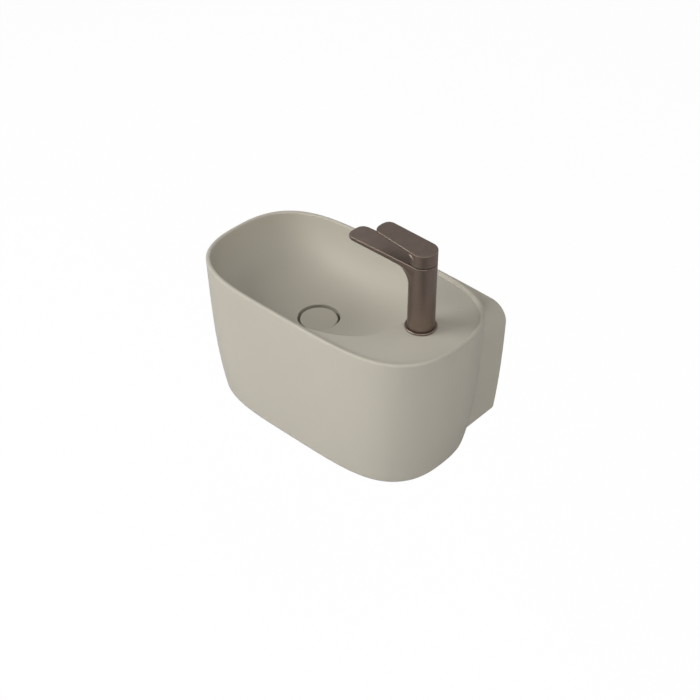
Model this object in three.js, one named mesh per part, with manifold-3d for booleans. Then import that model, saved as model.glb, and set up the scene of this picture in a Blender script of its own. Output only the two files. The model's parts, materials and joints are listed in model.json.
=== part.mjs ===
// Wall-hung basin with a single-lever mixer on its deck and a push-to-open waste.
// Millimetres. +Z is up, +Y points into the wall and +X along the rim to the tap end.
// The origin is on the wall face, midway between the two wall bolts.
import * as THREE from 'three';
import { mergeVertices } from 'three/addons/utils/BufferGeometryUtils.js';
import Module from 'manifold-3d';

const wasm = await Module();
wasm.setup();

// Ceramic: overall sizes
const rimLength = 450;
const rimDepth = 246;
const basinHeight = 240;
const wallStandoff = 27;
const boltDrop = 75;
const boltSideRoom = 53.4;

// Ceramic: how the tub narrows from the rim to its foot
const endTaper = 5.3;
const endTuck = 17.3;
const sideTaper = 7.9;
const sideTuck = 5.6;
const tuckPower = 3.6;
const rimPowerX = 4.15;
const rimPowerY = 2.59;
const footPowerLoss = 0.09;
const footRound = 10.5;

// Ceramic: rim, deck and bowl
const rimWall = 6.5;
const rimOuterRound = 3;
const rimInnerRound = 2.5;
const deckDrop = 4.75;
const deckEdgeRound = 1.75;
const deckLength = 98.5;
const deckThickness = 12;
const bowlDepth = 88.6;
const bowlPower = 2.5;
const bowlOutPower = 2.9;
const bowlOutEase = 0.9;
const bowlDownPower = 2.35;
const bowlDownEase = 0.95;
const bowlEasePower = 1.5;
const drainShift = -1.6;
const shellWall = 9;
const bowlWall = 9;

// Ceramic: the block that meets the wall
const blockHalfWidth = 193.4;
const blockTopDrop = 24.5;
const blockCrown = 5;
const blockCorner = 30;
const blockFootCorner = 14;
const blockTuck = 12;
const blockTuckPower = 2.6;
const filletTop = 14;
const filletFoot = 20;
const blockSkin = 10;
const backPlate = 12;
const bandDrop = 115;
const notchHalfWidth = 135;
const blockRoot = 62;
const rootSink = 2;
const rootShares = [0.85, 0.9];

// Ceramic: holes
const boltHoleRadius = 7;
const tapHoleRadius = 17.5;
const recessRadius = 33;
const recessDepth = 13;
const drainHoleRadius = 23;
const drainFloor = 10;
const bossWall = 8;

// Shared clearances
const seat = 0.3;
const overrun = 2;

// Wall fixings
const boltRadius = 5;
const sleeveFlange = 11;
const sleeveFlangeThickness = 2;
const washerRadius = 12;
const washerThickness = 2;
const wallNutRadius = 9.8;
const wallNutHeight = 8;
const boltTail = 6;

// Tap: body and spout
const tapSetback = 73.5;
const tapRadius = 19.8;
const tapHeight = 109.5;
const spoutReach = 127.5;
const spoutTipHalf = 17.8;
const spoutTipThickness = 8.2;
const spoutNeckThickness = 10.5;
const spoutNeckRadius = 26;
const spoutEdgeRound = 5;
const spoutFall = 2.35;
const spoutCap = 17;
const spoutPower = 2.9;
const tapChamfer = 0.7;

// Tap: foot
const gasketThickness = 0.7;
const gasketInner = 18.3;
const gasketOuter = 22.4;
const footRingRadius = 23.5;
const footRingLip = 2.2;
const footRingHeight = 3.4;
const footRingFlange = 0.9;
const footRingBore = 17;
const footRingChamfer = 0.5;

// Tap: pocket, water ways and outlet
const counterboreRadius = 16;
const counterboreDepth = 8.8;
const pocketRadius = 13.5;
const pocketDepth = 46.8;
const inletShift = 4;
const inletSpread = 8.5;
const inletBore = 3;
const inletRadius = 5;
const inletPocket = 14;
const inletTail = 4.5;
const inletLength = 80;
const inletWaterway = 2.8;
const tapStudShift = -9.5;
const tapStudRadius = 4;
const tapStudPocket = 20;
const tapStudLength = 62;
const ductHalfWidth = 6;
const ductHeight = 2.8;
const ductRoof = 2.2;
const ductDrop = 8;
const outletSetback = 17.5;
const outletRadius = 8.3;
const outletDepth = 6.4;
const aeratorSealThickness = 0.7;
const aeratorWall = 1.5;
const jetCount = 6;
const jetRadius = 0.95;
const jetCircle = 3.3;

// Tap: cartridge
const cartridgeSealThickness = 1.2;
const cartridgeGap = 0.33;
const nutSleeveHeight = 3;
const hubRadius = 9.8;
const hubBore = 3;
const pistonRadius = 6.1;
const pistonBore = 6.5;
const pistonLength = 20;
const pistonRest = 3.4;
const pistonFloor = 2;
const pistonHead = 2.2;
const rodRadius = 2.5;
const neckRadius = 1.7;
const ballRadius = 3.1;
const ballHeight = 4.4;
const ballGap = 0.4;
const grooveDepth = 1;
const grooveHeight = 1.8;
const stemSealGap = 0.3;
const carrierDisc = 15.3;
const carrierDiscThickness = 1.4;

// Tap: lever
const leverGap = 1.4;
const leverHead = 19.8;
const leverReach = 77.5;
const leverTipHalf = 16.6;
const leverTipThickness = 3.75;
const leverNeckThickness = 5.5;
const leverNeckRadius = 7;
const leverEdgeRound = 1.5;
const leverRise = 6.2;
const leverCap = 14;
const leverPower = 2.6;
const leverWall = 3.6;
const leverRoof = 4.7;
const hingeShift = 16;
const hingeHeight = 3.5;
const hingePinRadius = 1.25;
const hingeBossRadius = 2.2;
const hingeHalfWidth = 3.4;
const hingeSlotMargin = 0.5;
const lugThickness = 2.8;
const lugReach = 2.7;
const socketHalfWidth = 5.8;
const socketFront = 7.5;
const socketBack = 6.5;
const postFront = 9.4;

// Below the deck
const shoeRadius = 20;
const shoeThickness = 3;
const shoeSlotHalf = 13.5;
const shoeSlotBack = 3;
const tapNutRadius = 7.5;
const tapNutHeight = 8;

// Waste
const coverSink = 2;
const coverRadius = 29;
const coverThickness = 4.5;
const coverEdge = 0.8;
const plugCarrierRadius = 25;
const plugCarrierThickness = 1.2;
const plugBossRadius = 7;
const plugBossHeight = 3;
const plugSealInner = 20.5;
const plugSealOuter = 23.5;
const plugSealThickness = 1.2;
const flangeRadius = 31.5;
const flangeThickness = 1.8;
const flangeSealInner = 23.5;
const flangeSealThickness = 0.8;
const wasteTubeRadius = 20.95;
const wasteTubeWall = 2.95;
const wasteTail = 157;
const spiderDrop = 12;
const spiderHeight = 4;
const spiderRing = 2;
const spiderArm = 3;
const spiderHub = 8;
const housingRadius = 5.6;
const housingAbove = 5;
const housingBelow = 20;
const housingFloor = 1.5;
const housingWall = 1.4;
const clickRodRadius = 3;
const clickRodTail = 18;
const springWire = 0.5;
const springRadius = 4.7;
const springTurns = 4;
const stepsPerTurn = 9;
const coneThickness = 6;
const coneRadius = 30;
const coneTip = 27;
const slipThickness = 1.5;
const backnutRadius = 29;
const backnutHeight = 10;
const backnutGrips = 12;
const backnutGroove = 1.5;

// Counts and fine steps
const rimSteps = 72;
const recessSteps = 40;
const roundSteps = 32;
const smallSteps = 20;
const tinySteps = 12;
const sixSides = 6;
const traceSteps = 50;
const halvings = 48;
const nudgeShare = 1e-5;
const halfTurn = Math.PI;
const quarterTurn = Math.PI / 2;

// Places that follow from the sizes above
const rimHalf = rimLength / 2;
const depthHalf = rimDepth / 2;
const wallY = depthHalf + wallStandoff;
const bowlLeft = rimWall - rimHalf;
const bowlRight = rimHalf - deckLength;
const bowlMiddle = (bowlLeft + bowlRight) / 2;
const bowlHalf = (bowlRight - bowlLeft) / 2;
const drainX = bowlMiddle + drainShift;
const tapX = rimHalf - tapSetback;
const boltReach = blockHalfWidth - boltSideRoom;
const deckUnderside = deckDrop + deckThickness;
const recessFloor = bowlDepth + recessDepth;
const drainUnderside = recessFloor + drainFloor;

const colours = {
  ceramic: '#b9b2a4',
  bronze: '#6b5d53',
  brass: '#b08d4f',
  steel: '#b9bcc0',
  rubber: '#1d1d1e',
  plastic: '#e4e2dc',
  darkPlastic: '#2c2a29',
};

const finishes = {
  ceramic: { roughness: 0.55, metalness: 0 },
  bronze: { roughness: 0.38, metalness: 0.85 },
  brass: { roughness: 0.35, metalness: 1 },
  steel: { roughness: 0.3, metalness: 1 },
  rubber: { roughness: 0.8, metalness: 0 },
  plastic: { roughness: 0.5, metalness: 0 },
  darkPlastic: { roughness: 0.5, metalness: 0 },
};

// A list of whole numbers from zero
function steps(count) {
  return Array.from({ length: count }, (_, index) => index);
}

// Merges shared corners, drops collapsed faces and turns the faces outward
function closed(geometry) {
  const bare = geometry.clone();
  bare.deleteAttribute('normal');
  bare.deleteAttribute('uv');
  const merged = mergeVertices(bare);
  const place = merged.getAttribute('position');
  const index = merged.getIndex().array;
  const kept = [];
  let volume = 0;
  const corner = [new THREE.Vector3(), new THREE.Vector3(), new THREE.Vector3()];
  for (let face = 0; face < index.length; face += 3) {
    const [a, b, c] = [index[face], index[face + 1], index[face + 2]];
    if (a === b || b === c || a === c) {
      continue;
    }
    kept.push(a, b, c);
    corner.forEach((point, side) => point.fromBufferAttribute(place, index[face + side]));
    volume += corner[0].dot(corner[1].clone().cross(corner[2]));
  }
  if (volume < 0) {
    for (let face = 0; face < kept.length; face += 3) {
      [kept[face], kept[face + 1]] = [kept[face + 1], kept[face]];
    }
  }
  merged.setIndex(kept);
  return merged;
}

// A closed mesh as a solid for joining and cutting
function solid(geometry) {
  const tidy = closed(geometry);
  const mesh = new wasm.Mesh({
    numProp: 3,
    vertProperties: Float32Array.from(tidy.getAttribute('position').array),
    triVerts: Uint32Array.from(tidy.getIndex().array),
  });
  return new wasm.Manifold(mesh);
}

// A solid back as a mesh
function surface(shape) {
  const mesh = shape.getMesh();
  const geometry = new THREE.BufferGeometry();
  geometry.setAttribute('position', new THREE.BufferAttribute(mesh.vertProperties.slice(), 3));
  geometry.setIndex(Array.from(mesh.triVerts));
  return geometry;
}

// A closed body through level rings of points, with a fan over the first and the last ring
function loft(rings) {
  const count = rings[0].length;
  const points = rings.flat();
  const faces = [];
  for (let level = 0; level + 1 < rings.length; level += 1) {
    for (let at = 0; at < count; at += 1) {
      const next = (at + 1) % count;
      const a = level * count + at;
      const b = level * count + next;
      faces.push(a, b, b + count, a, b + count, a + count);
    }
  }
  const last = (rings.length - 1) * count;
  const middle = (ring) => [0, 1, 2].map((axis) => ring.reduce((sum, p) => sum + p[axis], 0) / count);
  points.push(middle(rings[0]), middle(rings[rings.length - 1]));
  const bottom = points.length - 2;
  const top = points.length - 1;
  for (let at = 0; at < count; at += 1) {
    const next = (at + 1) % count;
    faces.push(bottom, next, at, top, last + at, last + next);
  }
  const geometry = new THREE.BufferGeometry();
  geometry.setAttribute('position', new THREE.Float32BufferAttribute(points.flat(), 3));
  geometry.setIndex(faces);
  return closed(geometry);
}

// A turned body about Z from its half section as [radius, height] points, which closes on itself
function turned(section, count = smallSteps) {
  const outline = section.map(([radius, height]) => new THREE.Vector2(radius, height));
  outline.push(outline[0].clone());
  const geometry = new THREE.LatheGeometry(outline, count);
  geometry.rotateX(quarterTurn);
  return closed(geometry);
}

// A plain ring or disc between two heights
function ring(inner, outer, low, high, count = smallSteps) {
  return turned([[inner, low], [outer, low], [outer, high], [inner, high]], count);
}

// A box between two corners
function block(low, high) {
  const size = high.map((value, axis) => value - low[axis]);
  const geometry = new THREE.BoxGeometry(...size);
  geometry.translate(...low.map((value, axis) => value + size[axis] / 2));
  return geometry;
}

// A rod along X or Y between two places, through the point [x, y, z]
function crossRod(axis, radius, from, to, [x, y, z], count = smallSteps) {
  const geometry = ring(0, radius, from, to, count);
  if (axis === 'x') {
    geometry.rotateY(quarterTurn);
  } else {
    geometry.rotateX(-quarterTurn);
  }
  geometry.translate(x, y, z);
  return closed(geometry);
}

// A point on the oval |x / halfX| ^ powerX + |y / halfY| ^ powerY = 1
function ovalPoint(angle, oval) {
  const across = Math.cos(angle);
  const along = Math.sin(angle);
  return [
    oval.halfX * Math.sign(across) * Math.abs(across) ** (2 / oval.powerX),
    oval.halfY * Math.sign(along) * Math.abs(along) ** (2 / oval.powerY),
  ];
}

// Angles that part an oval's outline into equal lengths
function evenAngles(count, oval) {
  const fine = count * traceSteps;
  const travelled = [0];
  let before = ovalPoint(0, oval);
  for (let at = 1; at <= fine; at += 1) {
    const now = ovalPoint((at / fine) * 2 * halfTurn, oval);
    travelled.push(travelled[at - 1] + Math.hypot(now[0] - before[0], now[1] - before[1]));
    before = now;
  }
  return steps(count).map((index) => {
    const goal = (index / count) * travelled[fine];
    const found = travelled.findIndex((length) => length >= goal - Number.EPSILON);
    return (found / fine) * 2 * halfTurn;
  });
}

// An oval's value at a place: 1 on the outline, less inside, more outside
function ovalValue(x, y, oval) {
  return Math.abs(x / oval.halfX) ** oval.powerX + Math.abs(y / oval.halfY) ** oval.powerY;
}

// Length of a ray from a place inside an oval to its outline
function rayLength(from, direction, oval, middle = 0) {
  let near = 0;
  let far = rimLength;
  for (let turn = 0; turn < halvings; turn += 1) {
    const half = (near + far) / 2;
    const value = ovalValue(from + direction[0] * half - middle, direction[1] * half, oval);
    if (value < 1) {
      near = half;
    } else {
      far = half;
    }
  }
  return near;
}

// The tub's outline at a depth below the rim, drawn in by an inset
function tubOval(depth, inset) {
  const share = depth / basinHeight;
  return {
    halfX: rimHalf - endTaper * share - endTuck * share ** tuckPower - inset,
    halfY: depthHalf - sideTaper * share - sideTuck * share ** tuckPower - inset,
    powerX: rimPowerX,
    powerY: rimPowerY - footPowerLoss * share,
  };
}

// How much the rounded foot draws in the tub at a depth
function footInset(depth) {
  const into = Math.max(0, depth - (basinHeight - footRound));
  return footRound - Math.sqrt(Math.max(0, footRound ** 2 - into ** 2));
}

const rimAngles = evenAngles(rimSteps, tubOval(0, 0));

// One level ring of the tub
function tubRing(depth, inset) {
  return rimAngles.map((angle) => [...ovalPoint(angle, tubOval(depth, inset)), -depth]);
}

// The tub's outer form, solid from foot to rim
function tubForm() {
  const rings = [];
  const footTurns = 3;
  for (let turn = 0; turn <= footTurns; turn += 1) {
    const angle = (turn / footTurns) * quarterTurn;
    const depth = basinHeight - footRound * (1 - Math.cos(angle));
    rings.push(tubRing(depth, footRound * (1 - Math.sin(angle))));
  }
  const sideLevels = 7;
  for (let level = 1; level < sideLevels; level += 1) {
    const depth = basinHeight - footRound - (level / sideLevels) * (basinHeight - footRound - rimOuterRound);
    rings.push(tubRing(depth, 0));
  }
  const rimTurns = 3;
  for (let turn = 0; turn <= rimTurns; turn += 1) {
    const angle = (turn / rimTurns) * quarterTurn;
    rings.push(tubRing(rimOuterRound * (1 - Math.sin(angle)), rimOuterRound * (1 - Math.cos(angle))));
  }
  return loft(rings);
}

// Directions from the drain to points spread evenly along the inner wall
const bowlDirections = rimAngles.map((angle) => {
  const [x, y] = ovalPoint(angle, tubOval(0, rimWall));
  const length = Math.hypot(x - drainX, y);
  return [(x - drainX) / length, y / length];
});

// The bowl's edge along one direction: the inner wall at the left, an oval at the right
function bowlEdge(direction, wallLength) {
  const edge = { halfX: bowlHalf, halfY: depthHalf - rimWall, powerX: bowlPower, powerY: bowlPower };
  const length = rayLength(drainX, direction, edge, bowlMiddle);
  const beyondMiddle = drainX + direction[0] * length > bowlMiddle;
  const shown = beyondMiddle ? Math.min(length, wallLength) : wallLength;
  return wallLength - shown < seat ? wallLength : shown;
}

// How the bowl curves from edge to drain: steep at the left, easy towards the deck
function bowlCurve(direction) {
  const ease = Math.max(0, direction[0]) ** bowlEasePower;
  return { outPower: bowlOutPower - bowlOutEase * ease, downPower: bowlDownPower - bowlDownEase * ease };
}

// A ring of points at one length along each direction from the drain
function drainRing(lengths, depths) {
  return bowlDirections.map((direction, at) => [
    drainX + direction[0] * lengths[at],
    direction[1] * lengths[at],
    -depths[at],
  ]);
}

// The space inside the rim: inner rim, deck ledge and bowl, closed by a lid above the rim
function insideForm() {
  const wallLengths = bowlDirections.map((direction) => rayLength(drainX, direction, tubOval(0, rimWall)));
  const edges = bowlDirections.map((direction, at) => bowlEdge(direction, wallLengths[at]));
  const rings = [];
  const level = (inset, depth) => {
    const lengths = bowlDirections.map((direction) => rayLength(drainX, direction, tubOval(0, inset)));
    rings.push(drainRing(lengths, lengths.map(() => depth)));
  };
  level(rimWall - rimInnerRound, -overrun);
  const turns = 3;
  for (let turn = 0; turn <= turns; turn += 1) {
    const angle = (turn / turns) * quarterTurn;
    level(rimWall - rimInnerRound * (1 - Math.sin(angle)), rimInnerRound * (1 - Math.cos(angle)));
  }
  const ledges = edges.map((edge, at) => wallLengths[at] - edge);
  const hollows = ledges.map((ledge) => Math.min(deckDrop - rimInnerRound, ledge / 2));
  const crests = ledges.map((ledge) => Math.min(deckEdgeRound, ledge / 2));
  const hollowTurns = 2;
  for (let turn = 0; turn <= hollowTurns; turn += 1) {
    const angle = (turn / hollowTurns) * quarterTurn;
    rings.push(drainRing(
      wallLengths.map((length, at) => length - hollows[at] * (1 - Math.cos(angle))),
      hollows.map((hollow) => deckDrop - hollow * (1 - Math.sin(angle))),
    ));
  }
  for (let turn = 0; turn <= hollowTurns; turn += 1) {
    const angle = (turn / hollowTurns) * quarterTurn;
    rings.push(drainRing(
      edges.map((edge, at) => edge + crests[at] * (1 - Math.sin(angle))),
      crests.map((crest) => deckDrop + crest * (1 - Math.cos(angle))),
    ));
  }
  const angleShares = [0.1, 0.2, 0.31, 0.42, 0.54, 0.66, 0.78, 0.88, 0.96];
  angleShares.forEach((share) => {
    const angle = share * quarterTurn;
    const curves = bowlDirections.map(bowlCurve);
    rings.push(drainRing(
      edges.map((edge, at) => edge * Math.cos(angle) ** (2 / curves[at].outPower)),
      edges.map((edge, at) => {
        const start = deckDrop + crests[at];
        return start + (bowlDepth - start) * Math.sin(angle) ** (2 / curves[at].downPower);
      }),
    ));
  });
  return loft(rings.reverse());
}

// The bowl with its ceramic round it, which the hollow underside leaves standing
function bowlWallForm() {
  const wallLengths = bowlDirections.map((direction) => rayLength(drainX, direction, tubOval(0, rimWall)));
  const edges = bowlDirections.map((direction, at) => bowlEdge(direction, wallLengths[at]) + bowlWall);
  const curves = bowlDirections.map(bowlCurve);
  const angleShares = [0, 0.16, 0.3, 0.44, 0.58, 0.72, 0.86];
  const rings = angleShares.map((share) => drainRing(
    edges.map((edge, at) => edge * Math.cos(share * quarterTurn) ** (2 / curves[at].outPower)),
    edges.map((edge, at) => deckDrop
      + (bowlDepth + bowlWall - deckDrop) * Math.sin(share * quarterTurn) ** (2 / curves[at].downPower)),
  ));
  rings.unshift(drainRing(edges, edges.map(() => -overrun)));
  return loft(rings.reverse());
}

// Half-width of the wall block's side at a depth
function blockSide(depth) {
  return blockHalfWidth - blockTuck * (depth / basinHeight) ** blockTuckPower;
}

// Right half of the wall block's outline from top middle to foot middle,
// as [x, depth, outward x, outward z], drawn in by an inset
function blockHalfOutline(inset) {
  const crownEnd = blockSide(blockTopDrop) - blockCorner;
  const cornerDepth = blockTopDrop + blockCrown + blockCorner;
  const footDepth = basinHeight - blockFootCorner;
  const line = [];
  const crownShares = [0, 0.25, 0.5, 0.75];
  crownShares.forEach((share) => {
    line.push([share * crownEnd, blockTopDrop + blockCrown * share ** 2 + inset, 0, 1]);
  });
  const cornerTurns = 4;
  for (let turn = 0; turn <= cornerTurns; turn += 1) {
    const angle = (turn / cornerTurns) * quarterTurn;
    const reach = blockCorner - inset;
    line.push([crownEnd + reach * Math.sin(angle), cornerDepth - reach * Math.cos(angle),
      Math.sin(angle), Math.cos(angle)]);
  }
  const sideShares = [0.2, 0.4, 0.6, 0.8];
  sideShares.forEach((share) => {
    const depth = cornerDepth + share * (footDepth - cornerDepth);
    line.push([blockSide(depth) - inset, depth, 1, 0]);
  });
  const footX = blockSide(footDepth) - blockFootCorner;
  const footTurns = 2;
  for (let turn = 0; turn <= footTurns; turn += 1) {
    const angle = (turn / footTurns) * quarterTurn;
    const [across, down] = [Math.cos(angle), Math.sin(angle)];
    line.push([footX - inset + blockFootCorner * across, footDepth + blockFootCorner * down, across, -down]);
  }
  line.push([footX / 2, basinHeight, 0, -1]);
  line.push([0, basinHeight, 0, -1]);
  return line;
}

// The whole outline, right half then left half
function blockOutline(inset) {
  const right = blockHalfOutline(inset);
  const left = right.slice(1, -1).reverse().map(([x, depth, outX, outZ]) => [-x, depth, -outX, outZ]);
  return [...right, ...left];
}

// The tub's outline value at a place, 1 on its surface
function tubValue(x, y, z) {
  const depth = Math.min(basinHeight, Math.max(0, -z));
  return ovalValue(x, y, tubOval(depth, footInset(depth)));
}

// Distance to the tub's surface, taken as value over slope, and the way to it
function tubReach(x, y, z) {
  const nudge = rimLength * nudgeShare;
  const value = tubValue(x, y, z);
  const slope = [
    (tubValue(x + nudge, y, z) - value) / nudge,
    (tubValue(x, y + nudge, z) - value) / nudge,
    (tubValue(x, y, z + nudge) - tubValue(x, y, z - nudge)) / (2 * nudge),
  ];
  const steep = Math.hypot(...slope);
  const root = value ** (1 / rimPowerY);
  const distance = ((root - 1) * rimPowerY * value ** (1 - 1 / rimPowerY)) / steep;
  return { distance, toward: slope.map((part) => -part / steep) };
}

// The wall block with a hollow fillet where its sides meet the tub
function blockForm() {
  const turns = 4;
  const profiles = blockOutline(0).map(([x, depth, outX, outZ]) => {
    const share = depth / basinHeight;
    const fade = Math.min(1, 1 + outZ);
    const radius = (filletTop + (filletFoot - filletTop) * share) * fade;
    const ball = [x + radius * outX, 0, -depth + radius * outZ];
    let near = blockRoot;
    let far = wallY - seat;
    for (let turn = 0; turn < halvings; turn += 1) {
      const half = (near + far) / 2;
      if (tubReach(ball[0], half, ball[2]).distance < radius) {
        near = half;
      } else {
        far = half;
      }
    }
    ball[1] = far;
    const { toward } = tubReach(ball[0], far, ball[2]);
    const start = [-outX, 0, -outZ];
    const between = Math.acos(Math.min(1, Math.max(-1, start[0] * toward[0] + start[2] * toward[2])));
    const profile = [[x, wallY, -depth]];
    for (let turn = 0; turn <= turns; turn += 1) {
      const along = turn / turns;
      const first = between > 0 ? Math.sin((1 - along) * between) / Math.sin(between) : 1;
      const second = between > 0 ? Math.sin(along * between) / Math.sin(between) : 0;
      const way = start.map((part, axis) => first * part + second * toward[axis]);
      profile.push(ball.map((middle, axis) => middle + radius * way[axis]));
    }
    const end = profile[profile.length - 1];
    const sunk = end.map((place, axis) => place + rootSink * toward[axis]);
    profile.push(sunk);
    profile.push([sunk[0] * rootShares[0], blockRoot, sunk[2] * rootShares[1] - 2 * rootSink]);
    return profile.map(([px, py, pz]) => [px, py, Math.max(pz, -basinHeight)]);
  });
  const rings = profiles[0].map((_, level) => profiles.map((profile) => profile[level]));
  return loft(rings);
}

// The hollow behind the tub inside the wall block
function blockHollow() {
  const below = (depth) => (depth >= basinHeight ? depth + overrun : depth);
  const level = (y) => blockOutline(blockSkin).map(([x, depth]) => [x, y, -below(depth)]);
  return loft([level(blockRoot), level(wallY - backPlate)]);
}

// The hollow under the bowl and the deck
function tubHollow() {
  const levels = 5;
  const rings = steps(levels + 1).map((level) => {
    const depth = deckUnderside + (level / levels) * (basinHeight - deckUnderside);
    return tubRing(depth, shellWall);
  });
  rings.push(tubRing(basinHeight, shellWall).map(([x, y, z]) => [x, y, z - overrun]));
  return loft(rings.reverse());
}

function basinBody() {
  const hollow = solid(tubHollow()).add(solid(blockHollow())).subtract(solid(bowlWallForm()));
  const boss = ring(0, recessRadius + bossWall, -drainUnderside, -bowlDepth - bowlWall / 2, roundSteps);
  boss.translate(drainX, 0, 0);
  const recess = ring(0, recessRadius, -recessFloor, 0, recessSteps);
  recess.translate(drainX, 0, 0);
  const drain = ring(0, drainHoleRadius, -drainUnderside - overrun, 0, roundSteps);
  drain.translate(drainX, 0, 0);
  const tapHole = ring(0, tapHoleRadius, -deckUnderside - overrun, 0);
  tapHole.translate(tapX, 0, 0);
  const notch = block(
    [-notchHalfWidth, wallY - backPlate - overrun, -basinHeight - overrun],
    [notchHalfWidth, wallY + overrun, -bandDrop],
  );
  let shape = solid(tubForm()).add(solid(blockForm())).subtract(solid(insideForm())).subtract(hollow);
  shape = shape.add(solid(boss)).subtract(solid(recess)).subtract(solid(drain)).subtract(solid(tapHole));
  shape = shape.subtract(solid(notch));
  [-1, 1].forEach((side) => {
    const place = [side * boltReach, 0, -boltDrop];
    const hole = crossRod('y', boltHoleRadius, wallY - backPlate - overrun, wallY + overrun, place);
    shape = shape.subtract(solid(hole));
  });
  return surface(shape);
}

// A six-sided nut with a round bore
function hexNut(radius, bore, low, height) {
  const nut = solid(ring(0, radius, low, low + height, sixSides));
  return surface(nut.subtract(solid(ring(0, bore, low - overrun, low + height + overrun))));
}

// Heights of the wall fixings above the wall face
const sleeveTop = backPlate + seat + sleeveFlangeThickness;
const washerLow = sleeveTop + seat;
const wallNutLow = washerLow + washerThickness + seat;
const boltLength = wallNutLow + wallNutHeight + boltTail;

function wallSleeve() {
  const bore = boltRadius + seat;
  const outer = boltHoleRadius - seat;
  const shoulder = backPlate + seat;
  return turned([[bore, seat], [outer, seat], [outer, shoulder], [sleeveFlange, shoulder],
    [sleeveFlange, sleeveTop], [bore, sleeveTop]]);
}

// The section of a tap piece at one level: a round back and a nose of some reach.
// The nose has straight sides that draw in to its half-width, and a rounded cap.
function nosedRing(level) {
  const backTurns = 14;
  const capTurns = 10;
  const cap = Math.min(level.cap, level.reach);
  const straight = level.reach - cap;
  const points = [];
  for (let turn = 0; turn <= backTurns; turn += 1) {
    const angle = (turn / backTurns) * halfTurn - quarterTurn;
    points.push([level.radius * Math.cos(angle), level.radius * Math.sin(angle)]);
  }
  const sideShares = [0.25, 0.6];
  const narrowing = level.nose - level.radius;
  const side = (share, sign) => [-straight * share, sign * (level.radius + narrowing * share)];
  sideShares.forEach((share) => points.push(side(share, 1)));
  for (let turn = 0; turn <= capTurns; turn += 1) {
    const angle = (turn / capTurns) * halfTurn + quarterTurn;
    const nose = { halfX: cap, halfY: level.nose, powerX: level.power, powerY: level.power };
    const [x, y] = ovalPoint(angle, nose);
    points.push([x - straight, y]);
  }
  sideShares.toReversed().forEach((share) => points.push(side(share, -1)));
  return points.map(([x, y]) => [x, y, level.z + level.rise * Math.max(0, -x)]);
}

// Levels of a tap piece that grows a flat nose from a round column.
// Sizes: radius, foot, top, reach, nose, neck, tip, bend, edge, chamfer, cap, power, rise
function nosedForm(size) {
  const bendLow = size.top - size.neck - size.bend;
  const slope = size.rise / size.reach;
  const { radius } = size;
  const base = { radius, nose: radius, cap: radius, reach: radius, power: 2, rise: 0 };
  const levels = [{ ...base, z: size.foot }];
  const bendTurns = 5;
  const flatTurns = 3;
  const edgeTurns = 3;
  const narrow = size.nose - size.edge;
  for (let turn = 0; turn <= bendTurns; turn += 1) {
    const angle = (turn / bendTurns) * quarterTurn;
    const share = 1 - Math.cos(angle);
    levels.push({
      ...base,
      z: bendLow + size.bend * Math.sin(angle),
      reach: size.radius + size.bend * share,
      nose: size.radius + (narrow - size.radius) * share,
      cap: size.radius + (size.cap - size.edge - size.radius) * share,
      power: 2 + (size.power - 2) * share,
      rise: slope * share,
    });
  }
  const bendReach = size.radius + size.bend;
  const flatReach = size.reach - size.edge;
  for (let turn = 1; turn <= flatTurns; turn += 1) {
    const share = turn / flatTurns;
    levels.push({
      ...base,
      z: size.top - size.neck - (size.tip - size.neck) * share,
      reach: bendReach + (flatReach - bendReach) * share,
      nose: narrow,
      cap: size.cap - size.edge,
      power: size.power,
      rise: slope,
    });
  }
  for (let turn = 1; turn <= edgeTurns; turn += 1) {
    const angle = (turn / edgeTurns) * quarterTurn;
    levels.push({
      ...base,
      z: size.top - size.tip + size.edge * (1 - Math.cos(angle)),
      reach: flatReach + size.edge * Math.sin(angle),
      nose: narrow + size.edge * Math.sin(angle),
      cap: size.cap - size.edge * (1 - Math.sin(angle)),
      power: size.power,
      rise: slope,
    });
  }
  const rim = levels[levels.length - 1];
  levels.push({ ...rim, z: size.top - size.chamfer });
  levels.push({
    ...rim,
    z: size.top,
    radius: size.radius - size.chamfer,
    reach: size.reach - size.chamfer,
    nose: size.nose - size.chamfer,
    cap: size.cap - size.chamfer,
  });
  return loft(levels.map(nosedRing));
}

const footRingLow = seat + gasketThickness + seat;
const bodyLow = footRingLow + footRingFlange + seat;
const outletX = outletSetback - spoutReach;

// Level of the spout's underside below its top, at a place along it
function spoutThicknessAt(x) {
  const bendReach = tapRadius + spoutNeckRadius;
  const share = (-x - bendReach) / (spoutReach - spoutEdgeRound - bendReach);
  return spoutNeckThickness + (spoutTipThickness - spoutNeckThickness) * share;
}

// Height of the spout's underside at the outlet, above the deck
const outletLow = tapHeight - (spoutFall * -outletX) / spoutReach - spoutThicknessAt(outletX);

// The water way from the cartridge pocket along the spout to the outlet
function spoutDuct() {
  const neckX = -(tapRadius + spoutNeckRadius);
  const ductTop = tapHeight - spoutFall - ductRoof;
  const pocketTop = ductTop - ductDrop;
  const inward = -(pocketRadius - overrun);
  const outline = new THREE.Shape([
    new THREE.Vector2(outletX, ductTop),
    new THREE.Vector2(neckX, ductTop),
    new THREE.Vector2(inward, pocketTop),
    new THREE.Vector2(inward, pocketTop - ductHeight),
    new THREE.Vector2(neckX, ductTop - ductHeight),
    new THREE.Vector2(outletX, ductTop - ductHeight),
  ]);
  const geometry = new THREE.ExtrudeGeometry(outline, { depth: ductHalfWidth * 2, bevelEnabled: false });
  geometry.rotateX(quarterTurn);
  geometry.translate(0, ductHalfWidth, 0);
  return geometry;
}

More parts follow.
